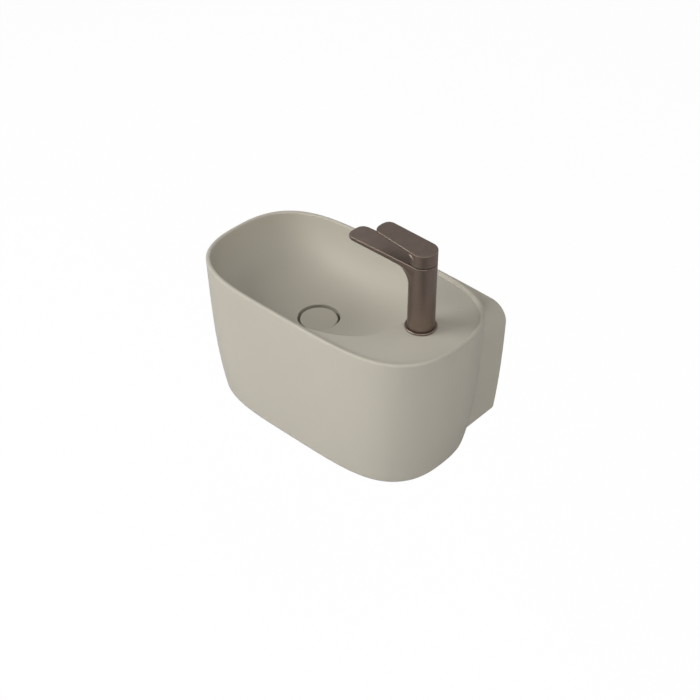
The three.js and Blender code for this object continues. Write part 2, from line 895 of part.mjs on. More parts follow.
function tapBody() {
  let shape = solid(nosedForm({
    radius: tapRadius,
    foot: bodyLow,
    top: tapHeight,
    reach: spoutReach,
    nose: spoutTipHalf,
    neck: spoutNeckThickness,
    tip: spoutTipThickness,
    bend: spoutNeckRadius,
    edge: spoutEdgeRound,
    chamfer: tapChamfer,
    cap: spoutCap,
    power: spoutPower,
    rise: -spoutFall,
  }));
  const pocketFloor = tapHeight - pocketDepth;
  const low = bodyLow - overrun;
  const outlet = ring(0, outletRadius, outletLow - overrun, outletLow + outletDepth);
  outlet.translate(outletX, 0, 0);
  const stud = ring(0, tapStudRadius + seat, low, bodyLow + tapStudPocket, tinySteps);
  stud.translate(tapStudShift, 0, 0);
  const cuts = [
    ring(0, counterboreRadius, tapHeight - counterboreDepth, tapHeight + overrun),
    ring(0, pocketRadius, pocketFloor, tapHeight + overrun),
    spoutDuct(),
    outlet,
    stud,
  ];
  [-1, 1].forEach((side) => {
    const thread = ring(0, inletRadius + seat, low, bodyLow + inletPocket, tinySteps);
    const bore = ring(0, inletBore, low, pocketFloor + overrun, tinySteps);
    thread.translate(inletShift, side * inletSpread, 0);
    bore.translate(inletShift, side * inletSpread, 0);
    cuts.push(thread, bore);
  });
  cuts.forEach((cut) => {
    shape = shape.subtract(solid(cut));
  });
  return surface(shape);
}

function tapBaseRing() {
  const lipInner = footRingRadius - footRingLip;
  const flangeTop = footRingLow + footRingFlange;
  return turned([
    [footRingBore, footRingLow],
    [footRingRadius, footRingLow],
    [footRingRadius, footRingHeight - footRingChamfer],
    [footRingRadius - footRingChamfer, footRingHeight],
    [lipInner + footRingChamfer, footRingHeight],
    [lipInner, footRingHeight - footRingChamfer],
    [lipInner, flangeTop],
    [footRingBore, flangeTop],
  ], roundSteps);
}

// Heights in the cartridge, from the tap body's top face down
const pocketBottom = -pocketDepth;
const shellLow = pocketBottom + seat + cartridgeSealThickness + seat;
const nutLow = -counterboreDepth + seat - nutSleeveHeight;
const shellTop = nutLow - seat;
const discLow = -(leverGap - carrierDiscThickness / 2);
const nutTop = discLow - seat;
const pistonBottom = shellLow + pistonFloor + pistonRest;
const pistonTop = pistonBottom + pistonLength;
const cartridgeRadius = pocketRadius - cartridgeGap;

function cartridgeSeal() {
  const low = pocketBottom + seat;
  let shape = solid(ring(0, cartridgeRadius, low, low + cartridgeSealThickness));
  [-1, 1].forEach((side) => {
    const hole = ring(0, inletBore, pocketBottom - overrun, shellLow + overrun, tinySteps);
    hole.translate(inletShift, side * inletSpread, 0);
    shape = shape.subtract(solid(hole));
  });
  return surface(shape);
}

function cartridgeShell() {
  let shape = solid(ring(0, cartridgeRadius, shellLow, shellTop));
  const boreTop = shellTop - pistonHead;
  const portHeight = pistonTop + inletBore;
  const cuts = [
    ring(0, pistonBore, shellLow + pistonFloor, boreTop),
    ring(0, hubBore, boreTop - overrun, shellTop + overrun),
    crossRod('x', ductHeight / 2, -cartridgeRadius - overrun, 0, [0, 0, boreTop - ductHeight]),
  ];
  [-1, 1].forEach((side) => {
    const port = ring(0, inletWaterway, shellLow - overrun, portHeight, tinySteps);
    port.translate(inletShift, side * inletSpread, 0);
    const [from, to] = side > 0 ? [0, inletSpread] : [-inletSpread, 0];
    cuts.push(port);
    cuts.push(crossRod('y', inletWaterway / 2, from, to, [inletShift, 0, pistonTop], tinySteps));
  });
  cuts.forEach((cut) => {
    shape = shape.subtract(solid(cut));
  });
  return surface(shape);
}

function cartridgeNut() {
  const collar = counterboreRadius - seat;
  const collarLow = -counterboreDepth + seat;
  const bore = hubRadius + seat;
  return turned([[bore, nutLow], [cartridgeRadius, nutLow], [cartridgeRadius, collarLow],
    [collar, collarLow], [collar, nutTop], [bore, nutTop]]);
}

const grooveLow = pistonTop - 2 * grooveHeight;

function cartridgeStem() {
  const section = [
    [0, pistonBottom],
    [pistonRadius, pistonBottom],
    [pistonRadius, grooveLow],
    [pistonRadius - grooveDepth, grooveLow],
    [pistonRadius - grooveDepth, grooveLow + grooveHeight],
    [pistonRadius, grooveLow + grooveHeight],
    [pistonRadius, pistonTop],
    [rodRadius, pistonTop],
    [rodRadius, discLow],
    [neckRadius, discLow],
  ];
  const ballTurns = 5;
  const start = Math.asin(neckRadius / ballRadius);
  for (let turn = 0; turn < ballTurns; turn += 1) {
    const angle = start + (turn / ballTurns) * (halfTurn - start);
    section.push([ballRadius * Math.sin(angle), ballHeight - ballRadius * Math.cos(angle)]);
  }
  section.push([0, ballHeight + ballRadius]);
  return turned(section, tinySteps);
}

function stemSeal() {
  const inner = pistonRadius - grooveDepth + stemSealGap;
  const outer = (pistonRadius + pistonBore) / 2;
  return ring(inner, outer, grooveLow + stemSealGap, grooveLow + grooveHeight - stemSealGap);
}

function leverCarrier() {
  const discTop = discLow + carrierDiscThickness;
  const along = [hingeShift, 0, hingeHeight];
  const post = block([postFront, -hingeHalfWidth, discTop - seat],
    [hingeShift, hingeHalfWidth, hingeHeight + hingeBossRadius]);
  const bearingHalf = hingeHalfWidth + overrun;
  const bearing = crossRod('y', hingePinRadius + seat / 2, -bearingHalf, bearingHalf, along);
  return surface(solid(ring(0, hubRadius, nutLow, discLow + seat))
    .add(solid(ring(0, carrierDisc, discLow, discTop)))
    .add(solid(post))
    .add(solid(crossRod('y', hingeBossRadius, -hingeHalfWidth, hingeHalfWidth, along)))
    .subtract(solid(bearing))
    .subtract(solid(ring(0, hubBore, nutLow - overrun, discTop + overrun))));
}

const lugInner = hingeHalfWidth + seat + seat / 2;
const lugOuter = lugInner + lugThickness;

function leverHandle() {
  const cavityRadius = tapRadius - leverWall;
  const cavityTop = leverGap + leverHead - leverRoof;
  const under = leverGap - overrun;
  const discTop = discLow + carrierDiscThickness;
  const socketLow = discTop + seat;
  let shape = solid(nosedForm({
    radius: tapRadius,
    foot: leverGap,
    top: leverGap + leverHead,
    reach: leverReach,
    nose: leverTipHalf,
    neck: leverNeckThickness,
    tip: leverTipThickness,
    bend: leverNeckRadius,
    edge: leverEdgeRound,
    chamfer: tapChamfer,
    cap: leverCap,
    power: leverPower,
    rise: leverRise,
  }));
  const socket = block([-socketFront, -socketHalfWidth, socketLow],
    [socketBack, socketHalfWidth, cavityTop + overrun]);
  let cavity = solid(ring(0, cavityRadius, under, cavityTop)).subtract(solid(socket));
  [-1, 1].forEach((side) => {
    const sides = [side * lugInner, side * lugOuter].sort((a, b) => a - b);
    const lug = block([hingeShift - lugReach, sides[0], leverGap],
      [tapRadius, sides[1], hingeHeight + lugReach]);
    cavity = cavity.subtract(solid(lug));
  });
  const slotBack = hingeShift + hingeBossRadius + hingeSlotMargin;
  const slot = block([hingeShift - lugReach, -lugInner, under],
    [slotBack, lugInner, hingeHeight + lugReach + seat]);
  const ball = crossRod('x', ballRadius + ballGap, -socketFront - overrun, socketBack + seat,
    [0, 0, ballHeight]);
  const slit = block([-socketFront - overrun, -neckRadius - seat, under],
    [socketBack + overrun, neckRadius + seat, ballHeight]);
  const pinHole = crossRod('y', hingePinRadius + seat / 2, -lugOuter - seat, lugOuter + seat,
    [hingeShift, 0, hingeHeight]);
  shape = shape.subtract(cavity).subtract(solid(slot)).subtract(solid(ball)).subtract(solid(slit));
  return surface(shape.subtract(solid(pinHole)));
}

function leverHingePin() {
  return crossRod('y', hingePinRadius, -lugOuter, lugOuter, [hingeShift, 0, hingeHeight]);
}

// Heights in the outlet, from the spout's underside up
const aeratorOuter = outletRadius - seat;
const aeratorHeight = outletDepth - aeratorSealThickness - 2 * seat;

function aeratorShell() {
  return ring(aeratorOuter - aeratorWall, aeratorOuter, 0, aeratorHeight);
}

function aeratorInsert() {
  const radius = aeratorOuter - aeratorWall - seat;
  let shape = solid(ring(0, radius, seat, aeratorHeight));
  steps(jetCount).forEach((index) => {
    const angle = (index / jetCount) * 2 * halfTurn;
    const jet = ring(0, jetRadius, -overrun, aeratorHeight + overrun, sixSides);
    jet.translate(Math.cos(angle) * jetCircle, Math.sin(angle) * jetCircle, 0);
    shape = shape.subtract(solid(jet));
  });
  return surface(shape);
}

function aeratorSeal() {
  const low = aeratorHeight + seat;
  return ring(aeratorOuter - aeratorWall * 2, aeratorOuter, low, low + aeratorSealThickness);
}

// Heights below the deck's top face
const shoeLow = -deckThickness - seat - shoeThickness;
const plateLow = shoeLow - seat - shoeThickness;
const tapNutLow = plateLow - seat - tapNutHeight;

// A clamping plate with a hole for the stud and a slot for the water tails
function horseshoe(low) {
  const slot = block([tapStudShift + tapStudRadius + shoeSlotBack, -shoeSlotHalf, low - overrun],
    [shoeRadius + overrun, shoeSlotHalf, low + shoeThickness + overrun]);
  const hole = ring(0, tapStudRadius + seat, low - overrun, low + shoeThickness + overrun, tinySteps);
  hole.translate(tapStudShift, 0, 0);
  const plate = solid(ring(0, shoeRadius, low, low + shoeThickness));
  return surface(plate.subtract(solid(slot)).subtract(solid(hole)));
}

function inletTailPiece() {
  const inner = inletWaterway;
  return turned([[inner, -inletLength], [inletTail, -inletLength], [inletTail, bodyLow - seat],
    [inletRadius, bodyLow - seat], [inletRadius, bodyLow + inletPocket - seat],
    [inner, bodyLow + inletPocket - seat]]);
}

// Heights in the waste, from the bowl's lowest point down
const coverTop = -coverSink;
const coverLow = coverTop - coverThickness;
const plugCarrierTop = coverLow - seat;
const plugCarrierLow = plugCarrierTop - plugCarrierThickness;
const plugSealTop = plugCarrierLow - seat;
const plugSealLow = plugSealTop - plugSealThickness;
const flangeTop = plugSealLow - seat;
const flangeLow = flangeTop - flangeThickness;
const flangeSealTop = flangeLow - seat;
const flangeSealLow = flangeSealTop - flangeSealThickness;
const wasteLow = bowlDepth - wasteTail;
const tubeInner = wasteTubeRadius - wasteTubeWall;
const spiderTop = flangeTop - spiderDrop;
const spiderLow = spiderTop - spiderHeight;
const housingTop = spiderTop + housingAbove;
const housingLow = spiderLow - housingBelow;
const plugBossLow = plugCarrierLow - plugBossHeight;
const wasteDeckLow = bowlDepth - drainUnderside;

function plugCover() {
  return turned([[0, coverLow], [coverRadius - coverEdge, coverLow], [coverRadius, coverLow + coverEdge],
    [coverRadius, coverTop - coverEdge], [coverRadius - coverEdge, coverTop], [0, coverTop]], roundSteps);
}

function plugCarrier() {
  return turned([[0, plugBossLow], [plugBossRadius, plugBossLow], [plugBossRadius, plugCarrierLow],
    [plugCarrierRadius, plugCarrierLow], [plugCarrierRadius, plugCarrierTop], [0, plugCarrierTop]]);
}

function wasteBody() {
  const flangeReach = Math.min(flangeRadius, recessRadius - 2 * seat);
  return turned([[tubeInner, wasteLow], [wasteTubeRadius, wasteLow], [wasteTubeRadius, flangeLow],
    [flangeReach, flangeLow], [flangeReach, flangeTop], [tubeInner, flangeTop]]);
}

function wasteSpider() {
  const outer = tubeInner - seat;
  let shape = solid(ring(outer - spiderRing, outer, spiderLow, spiderTop)).add(
    solid(ring(0, spiderHub, spiderLow, spiderTop)));
  const arms = 3;
  steps(arms).forEach((index) => {
    const arm = block([0, -spiderArm / 2, spiderLow], [outer - spiderRing / 2, spiderArm / 2, spiderTop]);
    arm.rotateZ((index / arms) * 2 * halfTurn);
    shape = shape.add(solid(arm));
  });
  const bore = ring(0, housingRadius + seat, spiderLow - overrun, spiderTop + overrun);
  return surface(shape.subtract(solid(bore)));
}

function clickHousing() {
  const shoulder = housingRadius + housingWall;
  const inner = clickRodRadius + seat;
  return turned([[0, housingLow], [housingRadius, housingLow], [housingRadius, spiderTop + seat],
    [shoulder, spiderTop + seat], [shoulder, housingTop], [inner, housingTop],
    [inner, housingLow + housingFloor], [0, housingLow + housingFloor]]);
}

function clickStem() {
  return ring(0, clickRodRadius, housingTop - clickRodTail, plugBossLow - seat, tinySteps);
}

// A helix about Z between two heights
class Helix extends THREE.Curve {
  constructor(low, high, radius, turns) {
    super();
    Object.assign(this, { low, high, radius, turns });
  }

  getPoint(share, target = new THREE.Vector3()) {
    const angle = share * this.turns * 2 * halfTurn;
    const height = this.low + (this.high - this.low) * share;
    return target.set(Math.cos(angle) * this.radius, Math.sin(angle) * this.radius, height);
  }
}

const springLow = housingTop + seat + springWire;
const springHigh = plugBossLow - seat - springWire;

function clickSpring() {
  const section = new THREE.Shape(steps(sixSides).map((index) => {
    const angle = (index / sixSides) * 2 * halfTurn;
    return new THREE.Vector2(Math.cos(angle) * springWire, Math.sin(angle) * springWire);
  }));
  const path = new Helix(springLow, springHigh, springRadius, springTurns);
  const sweep = { steps: stepsPerTurn * springTurns, extrudePath: path, bevelEnabled: false };
  return closed(new THREE.ExtrudeGeometry(section, sweep));
}

function wasteConeGasket() {
  const top = wasteDeckLow - seat;
  const inner = wasteTubeRadius + seat;
  return turned([[inner, top - coneThickness], [coneRadius, top - coneThickness],
    [coneTip, top], [inner, top]]);
}

const slipTop = wasteDeckLow - coneThickness - 2 * seat;
const backnutTop = slipTop - slipThickness - seat;

function wasteBacknut() {
  const low = backnutTop - backnutHeight;
  const nut = solid(ring(wasteTubeRadius + seat, backnutRadius, low, backnutTop, 2 * backnutGrips));
  return surface(steps(backnutGrips).reduce((shape, index) => {
    const groove = ring(0, backnutGroove, low - overrun, backnutTop + overrun, sixSides);
    const angle = ((index + 0.5) / backnutGrips) * 2 * halfTurn;
    groove.translate(Math.cos(angle) * backnutRadius, Math.sin(angle) * backnutRadius, 0);
    return shape.subtract(solid(groove));
  }, nut));
}

// Puts a named mesh of its own material in a group
function place(group, name, geometry, finish) {
  const material = new THREE.MeshStandardMaterial({ color: colours[finish], ...finishes[finish] });
  const mesh = new THREE.Mesh(geometry, material);
  mesh.name = name;
  group.add(mesh);
  return mesh;
}

// A group at a place inside another group
function groupAt(parent, x, y, z) {
  const group = new THREE.Group();
  group.position.set(x, y, z);
  parent.add(group);
  return group;
}

function addWallFixings(parent) {
  const sides = [['left', -1], ['right', 1]];
  sides.forEach(([side, sign]) => {
    const group = groupAt(parent, sign * boltReach, wallY, -boltDrop);
    group.rotation.x = quarterTurn;
    place(group, `wall_stud_${side}`, ring(0, boltRadius, seat, boltLength), 'steel');
    place(group, `wall_sleeve_${side}`, wallSleeve(), 'plastic');
    const washer = ring(boltRadius + seat, washerRadius, washerLow, washerLow + washerThickness);
    place(group, `wall_washer_${side}`, washer, 'steel');
    const nut = hexNut(wallNutRadius, boltRadius + seat, wallNutLow, wallNutHeight);
    place(group, `wall_nut_${side}`, nut, 'steel');
  });
}

function addTap(parent) {
  const tap = groupAt(parent, tapX, 0, -deckDrop);
  place(tap, 'tap_base_gasket', ring(gasketInner, gasketOuter, seat, seat + gasketThickness), 'rubber');
  place(tap, 'tap_base_ring', tapBaseRing(), 'bronze');
  place(tap, 'tap_body', tapBody(), 'bronze');
  const head = groupAt(tap, 0, 0, tapHeight);
  place(head, 'cartridge_seal', cartridgeSeal(), 'rubber');
  place(head, 'cartridge_shell', cartridgeShell(), 'plastic');
  place(head, 'cartridge_stem', cartridgeStem(), 'brass');
  place(head, 'stem_seal', stemSeal(), 'rubber');
  place(head, 'cartridge_nut', cartridgeNut(), 'brass');
  place(head, 'lever_carrier', leverCarrier(), 'darkPlastic');
  place(head, 'lever_hinge_pin', leverHingePin(), 'steel');
  place(head, 'lever_handle', leverHandle(), 'bronze');
  const outlet = groupAt(tap, outletX, 0, outletLow);
  place(outlet, 'aerator_shell', aeratorShell(), 'bronze');
  place(outlet, 'aerator_insert', aeratorInsert(), 'darkPlastic');
  place(outlet, 'aerator_seal', aeratorSeal(), 'rubber');
  place(tap, 'tap_rubber_washer', horseshoe(shoeLow), 'rubber');
  place(tap, 'tap_metal_washer', horseshoe(plateLow), 'steel');
  const stud = ring(0, tapStudRadius, -tapStudLength, bodyLow + tapStudPocket - seat, tinySteps);
  place(tap, 'tap_stud', stud, 'steel').position.x = tapStudShift;
  const nut = hexNut(tapNutRadius, tapStudRadius + seat, tapNutLow, tapNutHeight);
  place(tap, 'tap_nut', nut, 'brass').position.x = tapStudShift;
  const inlets = [['cold_inlet', 1], ['hot_inlet', -1]];
  inlets.forEach(([name, sign]) => {
    place(tap, name, inletTailPiece(), 'brass').position.set(inletShift, sign * inletSpread, 0);
  });
}

function addWaste(parent) {
  const waste = groupAt(parent, drainX, 0, -bowlDepth);
  place(waste, 'plug_cover', plugCover(), 'ceramic');
  place(waste, 'plug_carrier', plugCarrier(), 'darkPlastic');
  place(waste, 'plug_seal', ring(plugSealInner, plugSealOuter, plugSealLow, plugSealTop), 'rubber');
  place(waste, 'click_stem', clickStem(), 'brass');
  place(waste, 'click_spring', clickSpring(), 'steel');
  place(waste, 'click_housing', clickHousing(), 'plastic');
  place(waste, 'waste_spider', wasteSpider(), 'brass');
  place(waste, 'waste_body', wasteBody(), 'brass');
  const seal = ring(flangeSealInner, flangeRadius - seat, flangeSealLow, flangeSealTop);
  place(waste, 'waste_flange_seal', seal, 'rubber');
  place(waste, 'waste_cone_gasket', wasteConeGasket(), 'rubber');
  const slip = ring(wasteTubeRadius + seat, coneRadius, slipTop - slipThickness, slipTop);
  place(waste, 'waste_slip_washer', slip, 'plastic');
  place(waste, 'waste_backnut', wasteBacknut(), 'brass');
}

function buildBasin() {
  const whole = new THREE.Group();
  const basin = groupAt(whole, 0, -wallY, boltDrop);
  place(basin, 'basin_body', basinBody(), 'ceramic');
  addWallFixings(basin);
  addTap(basin);
  addWaste(basin);
  return whole;
}

export default buildBasin();
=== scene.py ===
"""Wall-hung basin with a single-lever mixer: fine surfaces and finishes round the CAD frame.

Shapes are worked out in millimetres, with +X to the tap end, +Y to the wall and +Z up. Each
counts from an origin of its own: the middle of the rim, the deck under the tap, the top of
the tap's column, the drain, or the middle of the CAD node that it stands for. They are put
into the frame in metres.
"""
import json
import math

import bpy
import bmesh
import numpy as np
from mathutils import Matrix, Vector

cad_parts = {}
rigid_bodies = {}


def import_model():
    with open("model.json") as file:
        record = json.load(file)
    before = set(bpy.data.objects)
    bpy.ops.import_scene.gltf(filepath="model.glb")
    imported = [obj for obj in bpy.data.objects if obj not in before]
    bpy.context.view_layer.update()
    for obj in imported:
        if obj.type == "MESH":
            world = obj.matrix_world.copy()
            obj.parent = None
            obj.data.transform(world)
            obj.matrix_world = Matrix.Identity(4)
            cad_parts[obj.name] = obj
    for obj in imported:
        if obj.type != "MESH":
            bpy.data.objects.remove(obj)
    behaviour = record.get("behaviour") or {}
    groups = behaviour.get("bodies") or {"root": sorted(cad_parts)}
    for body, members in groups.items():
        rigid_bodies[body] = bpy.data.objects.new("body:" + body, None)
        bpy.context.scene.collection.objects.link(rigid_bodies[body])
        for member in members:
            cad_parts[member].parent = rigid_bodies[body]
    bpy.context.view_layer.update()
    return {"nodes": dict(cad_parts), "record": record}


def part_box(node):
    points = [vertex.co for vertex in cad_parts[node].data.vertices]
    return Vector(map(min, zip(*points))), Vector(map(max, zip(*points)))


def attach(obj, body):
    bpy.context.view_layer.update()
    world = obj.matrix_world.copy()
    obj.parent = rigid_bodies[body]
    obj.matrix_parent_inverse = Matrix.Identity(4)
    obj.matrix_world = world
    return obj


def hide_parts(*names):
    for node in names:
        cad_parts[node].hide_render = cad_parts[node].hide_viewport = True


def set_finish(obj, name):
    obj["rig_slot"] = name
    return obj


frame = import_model()

MM = 0.001
QUARTER = math.pi / 2

# Ceramic, as in the CAD model
RIM_LENGTH = 450.0
RIM_DEPTH = 246.0
HEIGHT = 240.0
STANDOFF = 27.0
BOLT_DROP = 75.0
BOLT_SPACING = 280.0
END_TAPER = 5.3
END_TUCK = 17.3
SIDE_TAPER = 7.9
SIDE_TUCK = 5.6
TUCK_POWER = 3.6
RIM_POWER_X = 4.15
RIM_POWER_Y = 2.59
FOOT_POWER_LOSS = 0.09
FOOT_ROUND = 10.5
BLOCK_FOOT_CORNER = 14.0
RIM_WALL = 6.5
RIM_OUTER_ROUND = 3.0
RIM_INNER_ROUND = 2.5
DECK_DROP = 4.75
DECK_EDGE_ROUND = 1.75
DECK_LENGTH = 98.5
DECK_THICKNESS = 12.0
BOWL_DEPTH = 88.6
BOWL_POWER = 2.5
BOWL_OUT_POWER = 2.9
BOWL_OUT_EASE = 0.9
BOWL_DOWN_POWER = 2.35
BOWL_DOWN_EASE = 0.95
BOWL_EASE_POWER = 1.5
DRAIN_SHIFT = -1.6
SHELL_WALL = 9.0
BOWL_WALL = 9.0
BLOCK_HALF_WIDTH = 193.4
BLOCK_TOP_DROP = 24.5
BLOCK_CROWN = 5.0
BLOCK_CORNER = 30.0
BLOCK_TUCK = 12.0
BLOCK_TUCK_POWER = 2.6
FILLET_TOP = 14.0
FILLET_FOOT = 20.0
BLOCK_SKIN = 10.0
BACK_PLATE = 12.0
BAND_DROP = 115.0
NOTCH_HALF_WIDTH = 135.0
BLOCK_ROOT = 62.0
WALL_EDGE_ROUND = 1.2
BOLT_HOLE = 7.0
TAP_HOLE = 17.5
RECESS_RADIUS = 33.0
RECESS_DEPTH = 13.0
RECESS_EDGE_ROUND = 0.7
DRAIN_HOLE = 23.0
DRAIN_FLOOR = 10.0
BOSS_WALL = 8.0
OVERRUN = 2.0
SMALL_HOLE_STEPS = 48
PIN_HOLE_STEPS = 32

RIM_HALF = RIM_LENGTH / 2
DEPTH_HALF = RIM_DEPTH / 2
WALL_Y = DEPTH_HALF + STANDOFF
BOWL_LEFT = RIM_WALL - RIM_HALF
BOWL_RIGHT = RIM_HALF - DECK_LENGTH
BOWL_MIDDLE = (BOWL_LEFT + BOWL_RIGHT) / 2
BOWL_HALF = (BOWL_RIGHT - BOWL_LEFT) / 2
DRAIN_X = BOWL_MIDDLE + DRAIN_SHIFT
DECK_UNDERSIDE = DECK_DROP + DECK_THICKNESS
RECESS_FLOOR = BOWL_DEPTH + RECESS_DEPTH
DRAIN_UNDERSIDE = RECESS_FLOOR + DRAIN_FLOOR

# Tap, as in the CAD model
SEAT = 0.3
TAP_SETBACK = 73.5
TAP_X = RIM_HALF - TAP_SETBACK
TAP_RADIUS = 19.8
TAP_HEIGHT = 109.5
TAP_EDGE_ROUND = 0.7
TAP_FOOT_ROUND = 0.4
BODY_LOW = 2.5
SPOUT_REACH = 127.5
SPOUT_TIP_HALF = 17.8
SPOUT_NECK_THICKNESS = 10.5
SPOUT_TIP_THICKNESS = 8.2
SPOUT_NECK_RADIUS = 26.0
SPOUT_EDGE_ROUND = 5.0
SPOUT_CAP = 17.0
SPOUT_POWER = 2.9
SPOUT_FALL = 2.35
COUNTERBORE = 16.0
COUNTERBORE_DEPTH = 8.8
POCKET = 13.5
POCKET_DEPTH = 46.8
POCKET_OVERLAP = 0.8
OUTLET_SETBACK = 17.5
OUTLET_X = OUTLET_SETBACK - SPOUT_REACH
OUTLET_RADIUS = 8.3
OUTLET_DEPTH = 6.4
STUD_HOLE = 4.3
STUD_SHIFT = -9.5
STUD_POCKET = 20.0
INLET_HOLE = 5.3
INLET_SHIFT = 4.0
INLET_SPREAD = 8.5
INLET_POCKET = 14.0

# Lever, as in the CAD model
LEVER_GAP = 1.4
LEVER_HEAD = 19.8
LEVER_REACH = 77.5
LEVER_TIP_HALF = 16.6
LEVER_NECK_THICKNESS = 5.5
LEVER_TIP_THICKNESS = 3.75
LEVER_NECK_RADIUS = 7.0
LEVER_EDGE_ROUND = 1.5
LEVER_CAP = 14.0
LEVER_POWER = 2.6
LEVER_RISE = 6.2
LEVER_HOLLOW = 16.2
LEVER_HOLLOW_TOP = 16.5
HINGE_SHIFT = 16.0
HINGE_HEIGHT = 3.5
HINGE_SLOT_REACH = 2.7
PIN_HOLE = 1.4
LUG_REACH = 2.7
LUG_INNER = 3.85
LUG_OUTER = 6.65
SOCKET_FRONT = 7.5
SOCKET_BACK = 6.5
SOCKET_HALF = 5.8
SOCKET_LOW = 1.0
BALL_HOLE = 3.5
BALL_HEIGHT = 4.4
SLIT_HALF = 2.0

# Waste and small pieces, as in the CAD model but for the backnut's grips
COVER_SINK = 2.0
COVER_THICKNESS = 4.5
COVER_RADIUS = 29.0
COVER_EDGE_ROUND = 1.1
WASTE_RADIUS = 20.95
WASTE_BORE = 18.0
WASTE_TAIL = 157.0
WASTE_END_RADIUS = 20.35
FLANGE_RADIUS = 31.5
FLANGE_DROP = 9.8
FLANGE_THICKNESS = 1.8
THREAD_DROP = 12.0
GASKET_BORE = 18.3
COVER_SEAL_BORE = 20.5
FLANGE_SEAL_BORE = 23.5
BOLT_RADIUS = 5.0
CONE_RADIUS = 30.0
CONE_TIP = 27.0
CONE_THICKNESS = 6.0
TAIL_BORE = 2.8
TAIL_RADIUS = 4.5
TAIL_HEAD_RADIUS = 5.0
TAIL_HEAD_LENGTH = 14.0
TAIL_THREAD_TOP = 14.0
BACKNUT_RADIUS = 29.0
BACKNUT_GRIPS = 12
BACKNUT_GROOVE = 1.5
BACKNUT_EDGE_ROUND = 0.6
FOOT_RING_EDGE_ROUND = 0.18

# Threads, which the CAD model leaves plain
THREAD_CREST_SHARES = (0.4, 0.6)
WASTE_THREAD_PITCH = 2.2
WASTE_THREAD_DEPTH = 0.6
WASTE_THREAD_MARGIN = 1.0
TAIL_THREAD_PITCH = 1.25
TAIL_THREAD_DEPTH = 0.4
TAIL_THREAD_MARGIN = 0.5
BOLT_THREAD_PITCH = 1.5
BOLT_THREAD_DEPTH = 0.4
STUD_THREAD_PITCH = 1.25
STUD_THREAD_DEPTH = 0.35

# Half sections of [radius, height]
FOOT_RING_SECTION = [[17.0, 1.3], [23.5, 1.3], [23.5, 2.8], [22.9, 3.4],
                     [21.9, 3.4], [21.3, 2.9], [21.3, 2.2], [17.0, 2.2]]
CARRIER_SECTION = [[0, 0], [7.0, 0], [7.0, 3.0], [25.0, 3.0], [25.0, 4.2], [0, 4.2]]

RIM_ORIGIN = np.array([0.0, -WALL_Y, BOLT_DROP])
DECK_ORIGIN = RIM_ORIGIN + np.array([TAP_X, 0.0, -DECK_DROP])
HEAD_ORIGIN = DECK_ORIGIN + np.array([0.0, 0.0, TAP_HEIGHT])
WASTE_ORIGIN = RIM_ORIGIN + np.array([DRAIN_X, 0.0, -BOWL_DEPTH])

# Shading: edges sharper than these angles in degrees stay crisp
CASTING_SHARP = 32.0
CERAMIC_SHARP = 28.0
TAP_SHARP = 38.0
ROUND_SHARP = 50.0
MERGE_DISTANCE = 2e-6
EMPTY_DISTANCE = 1e-7


# Meshes

def new_piece(name, points, faces, origin=RIM_ORIGIN, sharp=CASTING_SHARP):
    """A piece from points in millimetres and faces, with doubles merged and normals outward."""
    mesh = bpy.data.meshes.new(name)
    places = (np.asarray(points, dtype=float) + origin) * MM
    mesh.from_pydata(places.tolist(), [], [list(face) for face in faces])
    mend(mesh)
    piece = bpy.data.objects.new(name, mesh)
    bpy.context.scene.collection.objects.link(piece)
    soften(piece, sharp)
    return piece


def mend(mesh):
    """Merges doubles, drops empty faces and turns normals outward."""
    work = bmesh.new()
    work.from_mesh(mesh)
    bmesh.ops.remove_doubles(work, verts=work.verts, dist=MERGE_DISTANCE)
    bmesh.ops.dissolve_degenerate(work, edges=work.edges, dist=EMPTY_DISTANCE)
    bmesh.ops.recalc_face_normals(work, faces=work.faces)
    work.to_mesh(mesh)
    work.free()


def soften(piece, sharp):
    """Smooth shading, with edges sharper than an angle in degrees kept crisp."""
    mesh = piece.data
    mesh.polygons.foreach_set("use_smooth", np.ones(len(mesh.polygons), dtype=bool))
    mesh.set_sharp_from_angle(angle=math.radians(sharp))
    mesh.update()


def grid_faces(rows, columns, wrap, first=0):
    """Quads between neighbouring rows of a grid, whose columns may wrap round."""
    across = np.arange(columns if wrap else columns - 1)
    down = np.arange(rows - 1)[:, None]
    here = first + down * columns + across
    right = first + down * columns + (across + 1) % columns
    return np.stack([here, right, right + columns, here + columns], axis=-1).reshape(-1, 4)


def loft(rings, lids=(True, True)):
    """Points and faces of a body through closed rings, with a fan of faces as each lid."""
    rings = np.asarray(rings, dtype=float)
    rows, columns, _ = rings.shape
    points = rings.reshape(-1, 3)
    faces = grid_faces(rows, columns, True).tolist()
    for at_end, wanted in enumerate(lids):
        if wanted:
            start = (rows - 1) * columns * at_end
            points = np.vstack([points, rings[-at_end].mean(axis=0)])
            faces += [[start + at, start + (at + 1) % columns, len(points) - 1]
                      for at in range(columns)]
    return points, faces


def turned(section, count=96):
    """A body turned about Z from a half section of [radius, height], closed on itself.

    At an angle, a point of the section lies at radius x cosine, radius x sine and its height.
    """
    section = np.asarray(section, dtype=float)
    angle = np.linspace(0, 2 * math.pi, count, endpoint=False)
    radius = section[:, 0][:, None]
    rings = np.stack([radius * np.cos(angle), radius * np.sin(angle),
                      np.broadcast_to(section[:, 1][:, None], (len(section), count))], axis=-1)
    rings = np.concatenate([rings, rings[:1]])
    return rings.reshape(-1, 3), grid_faces(len(rings), count, True).tolist()


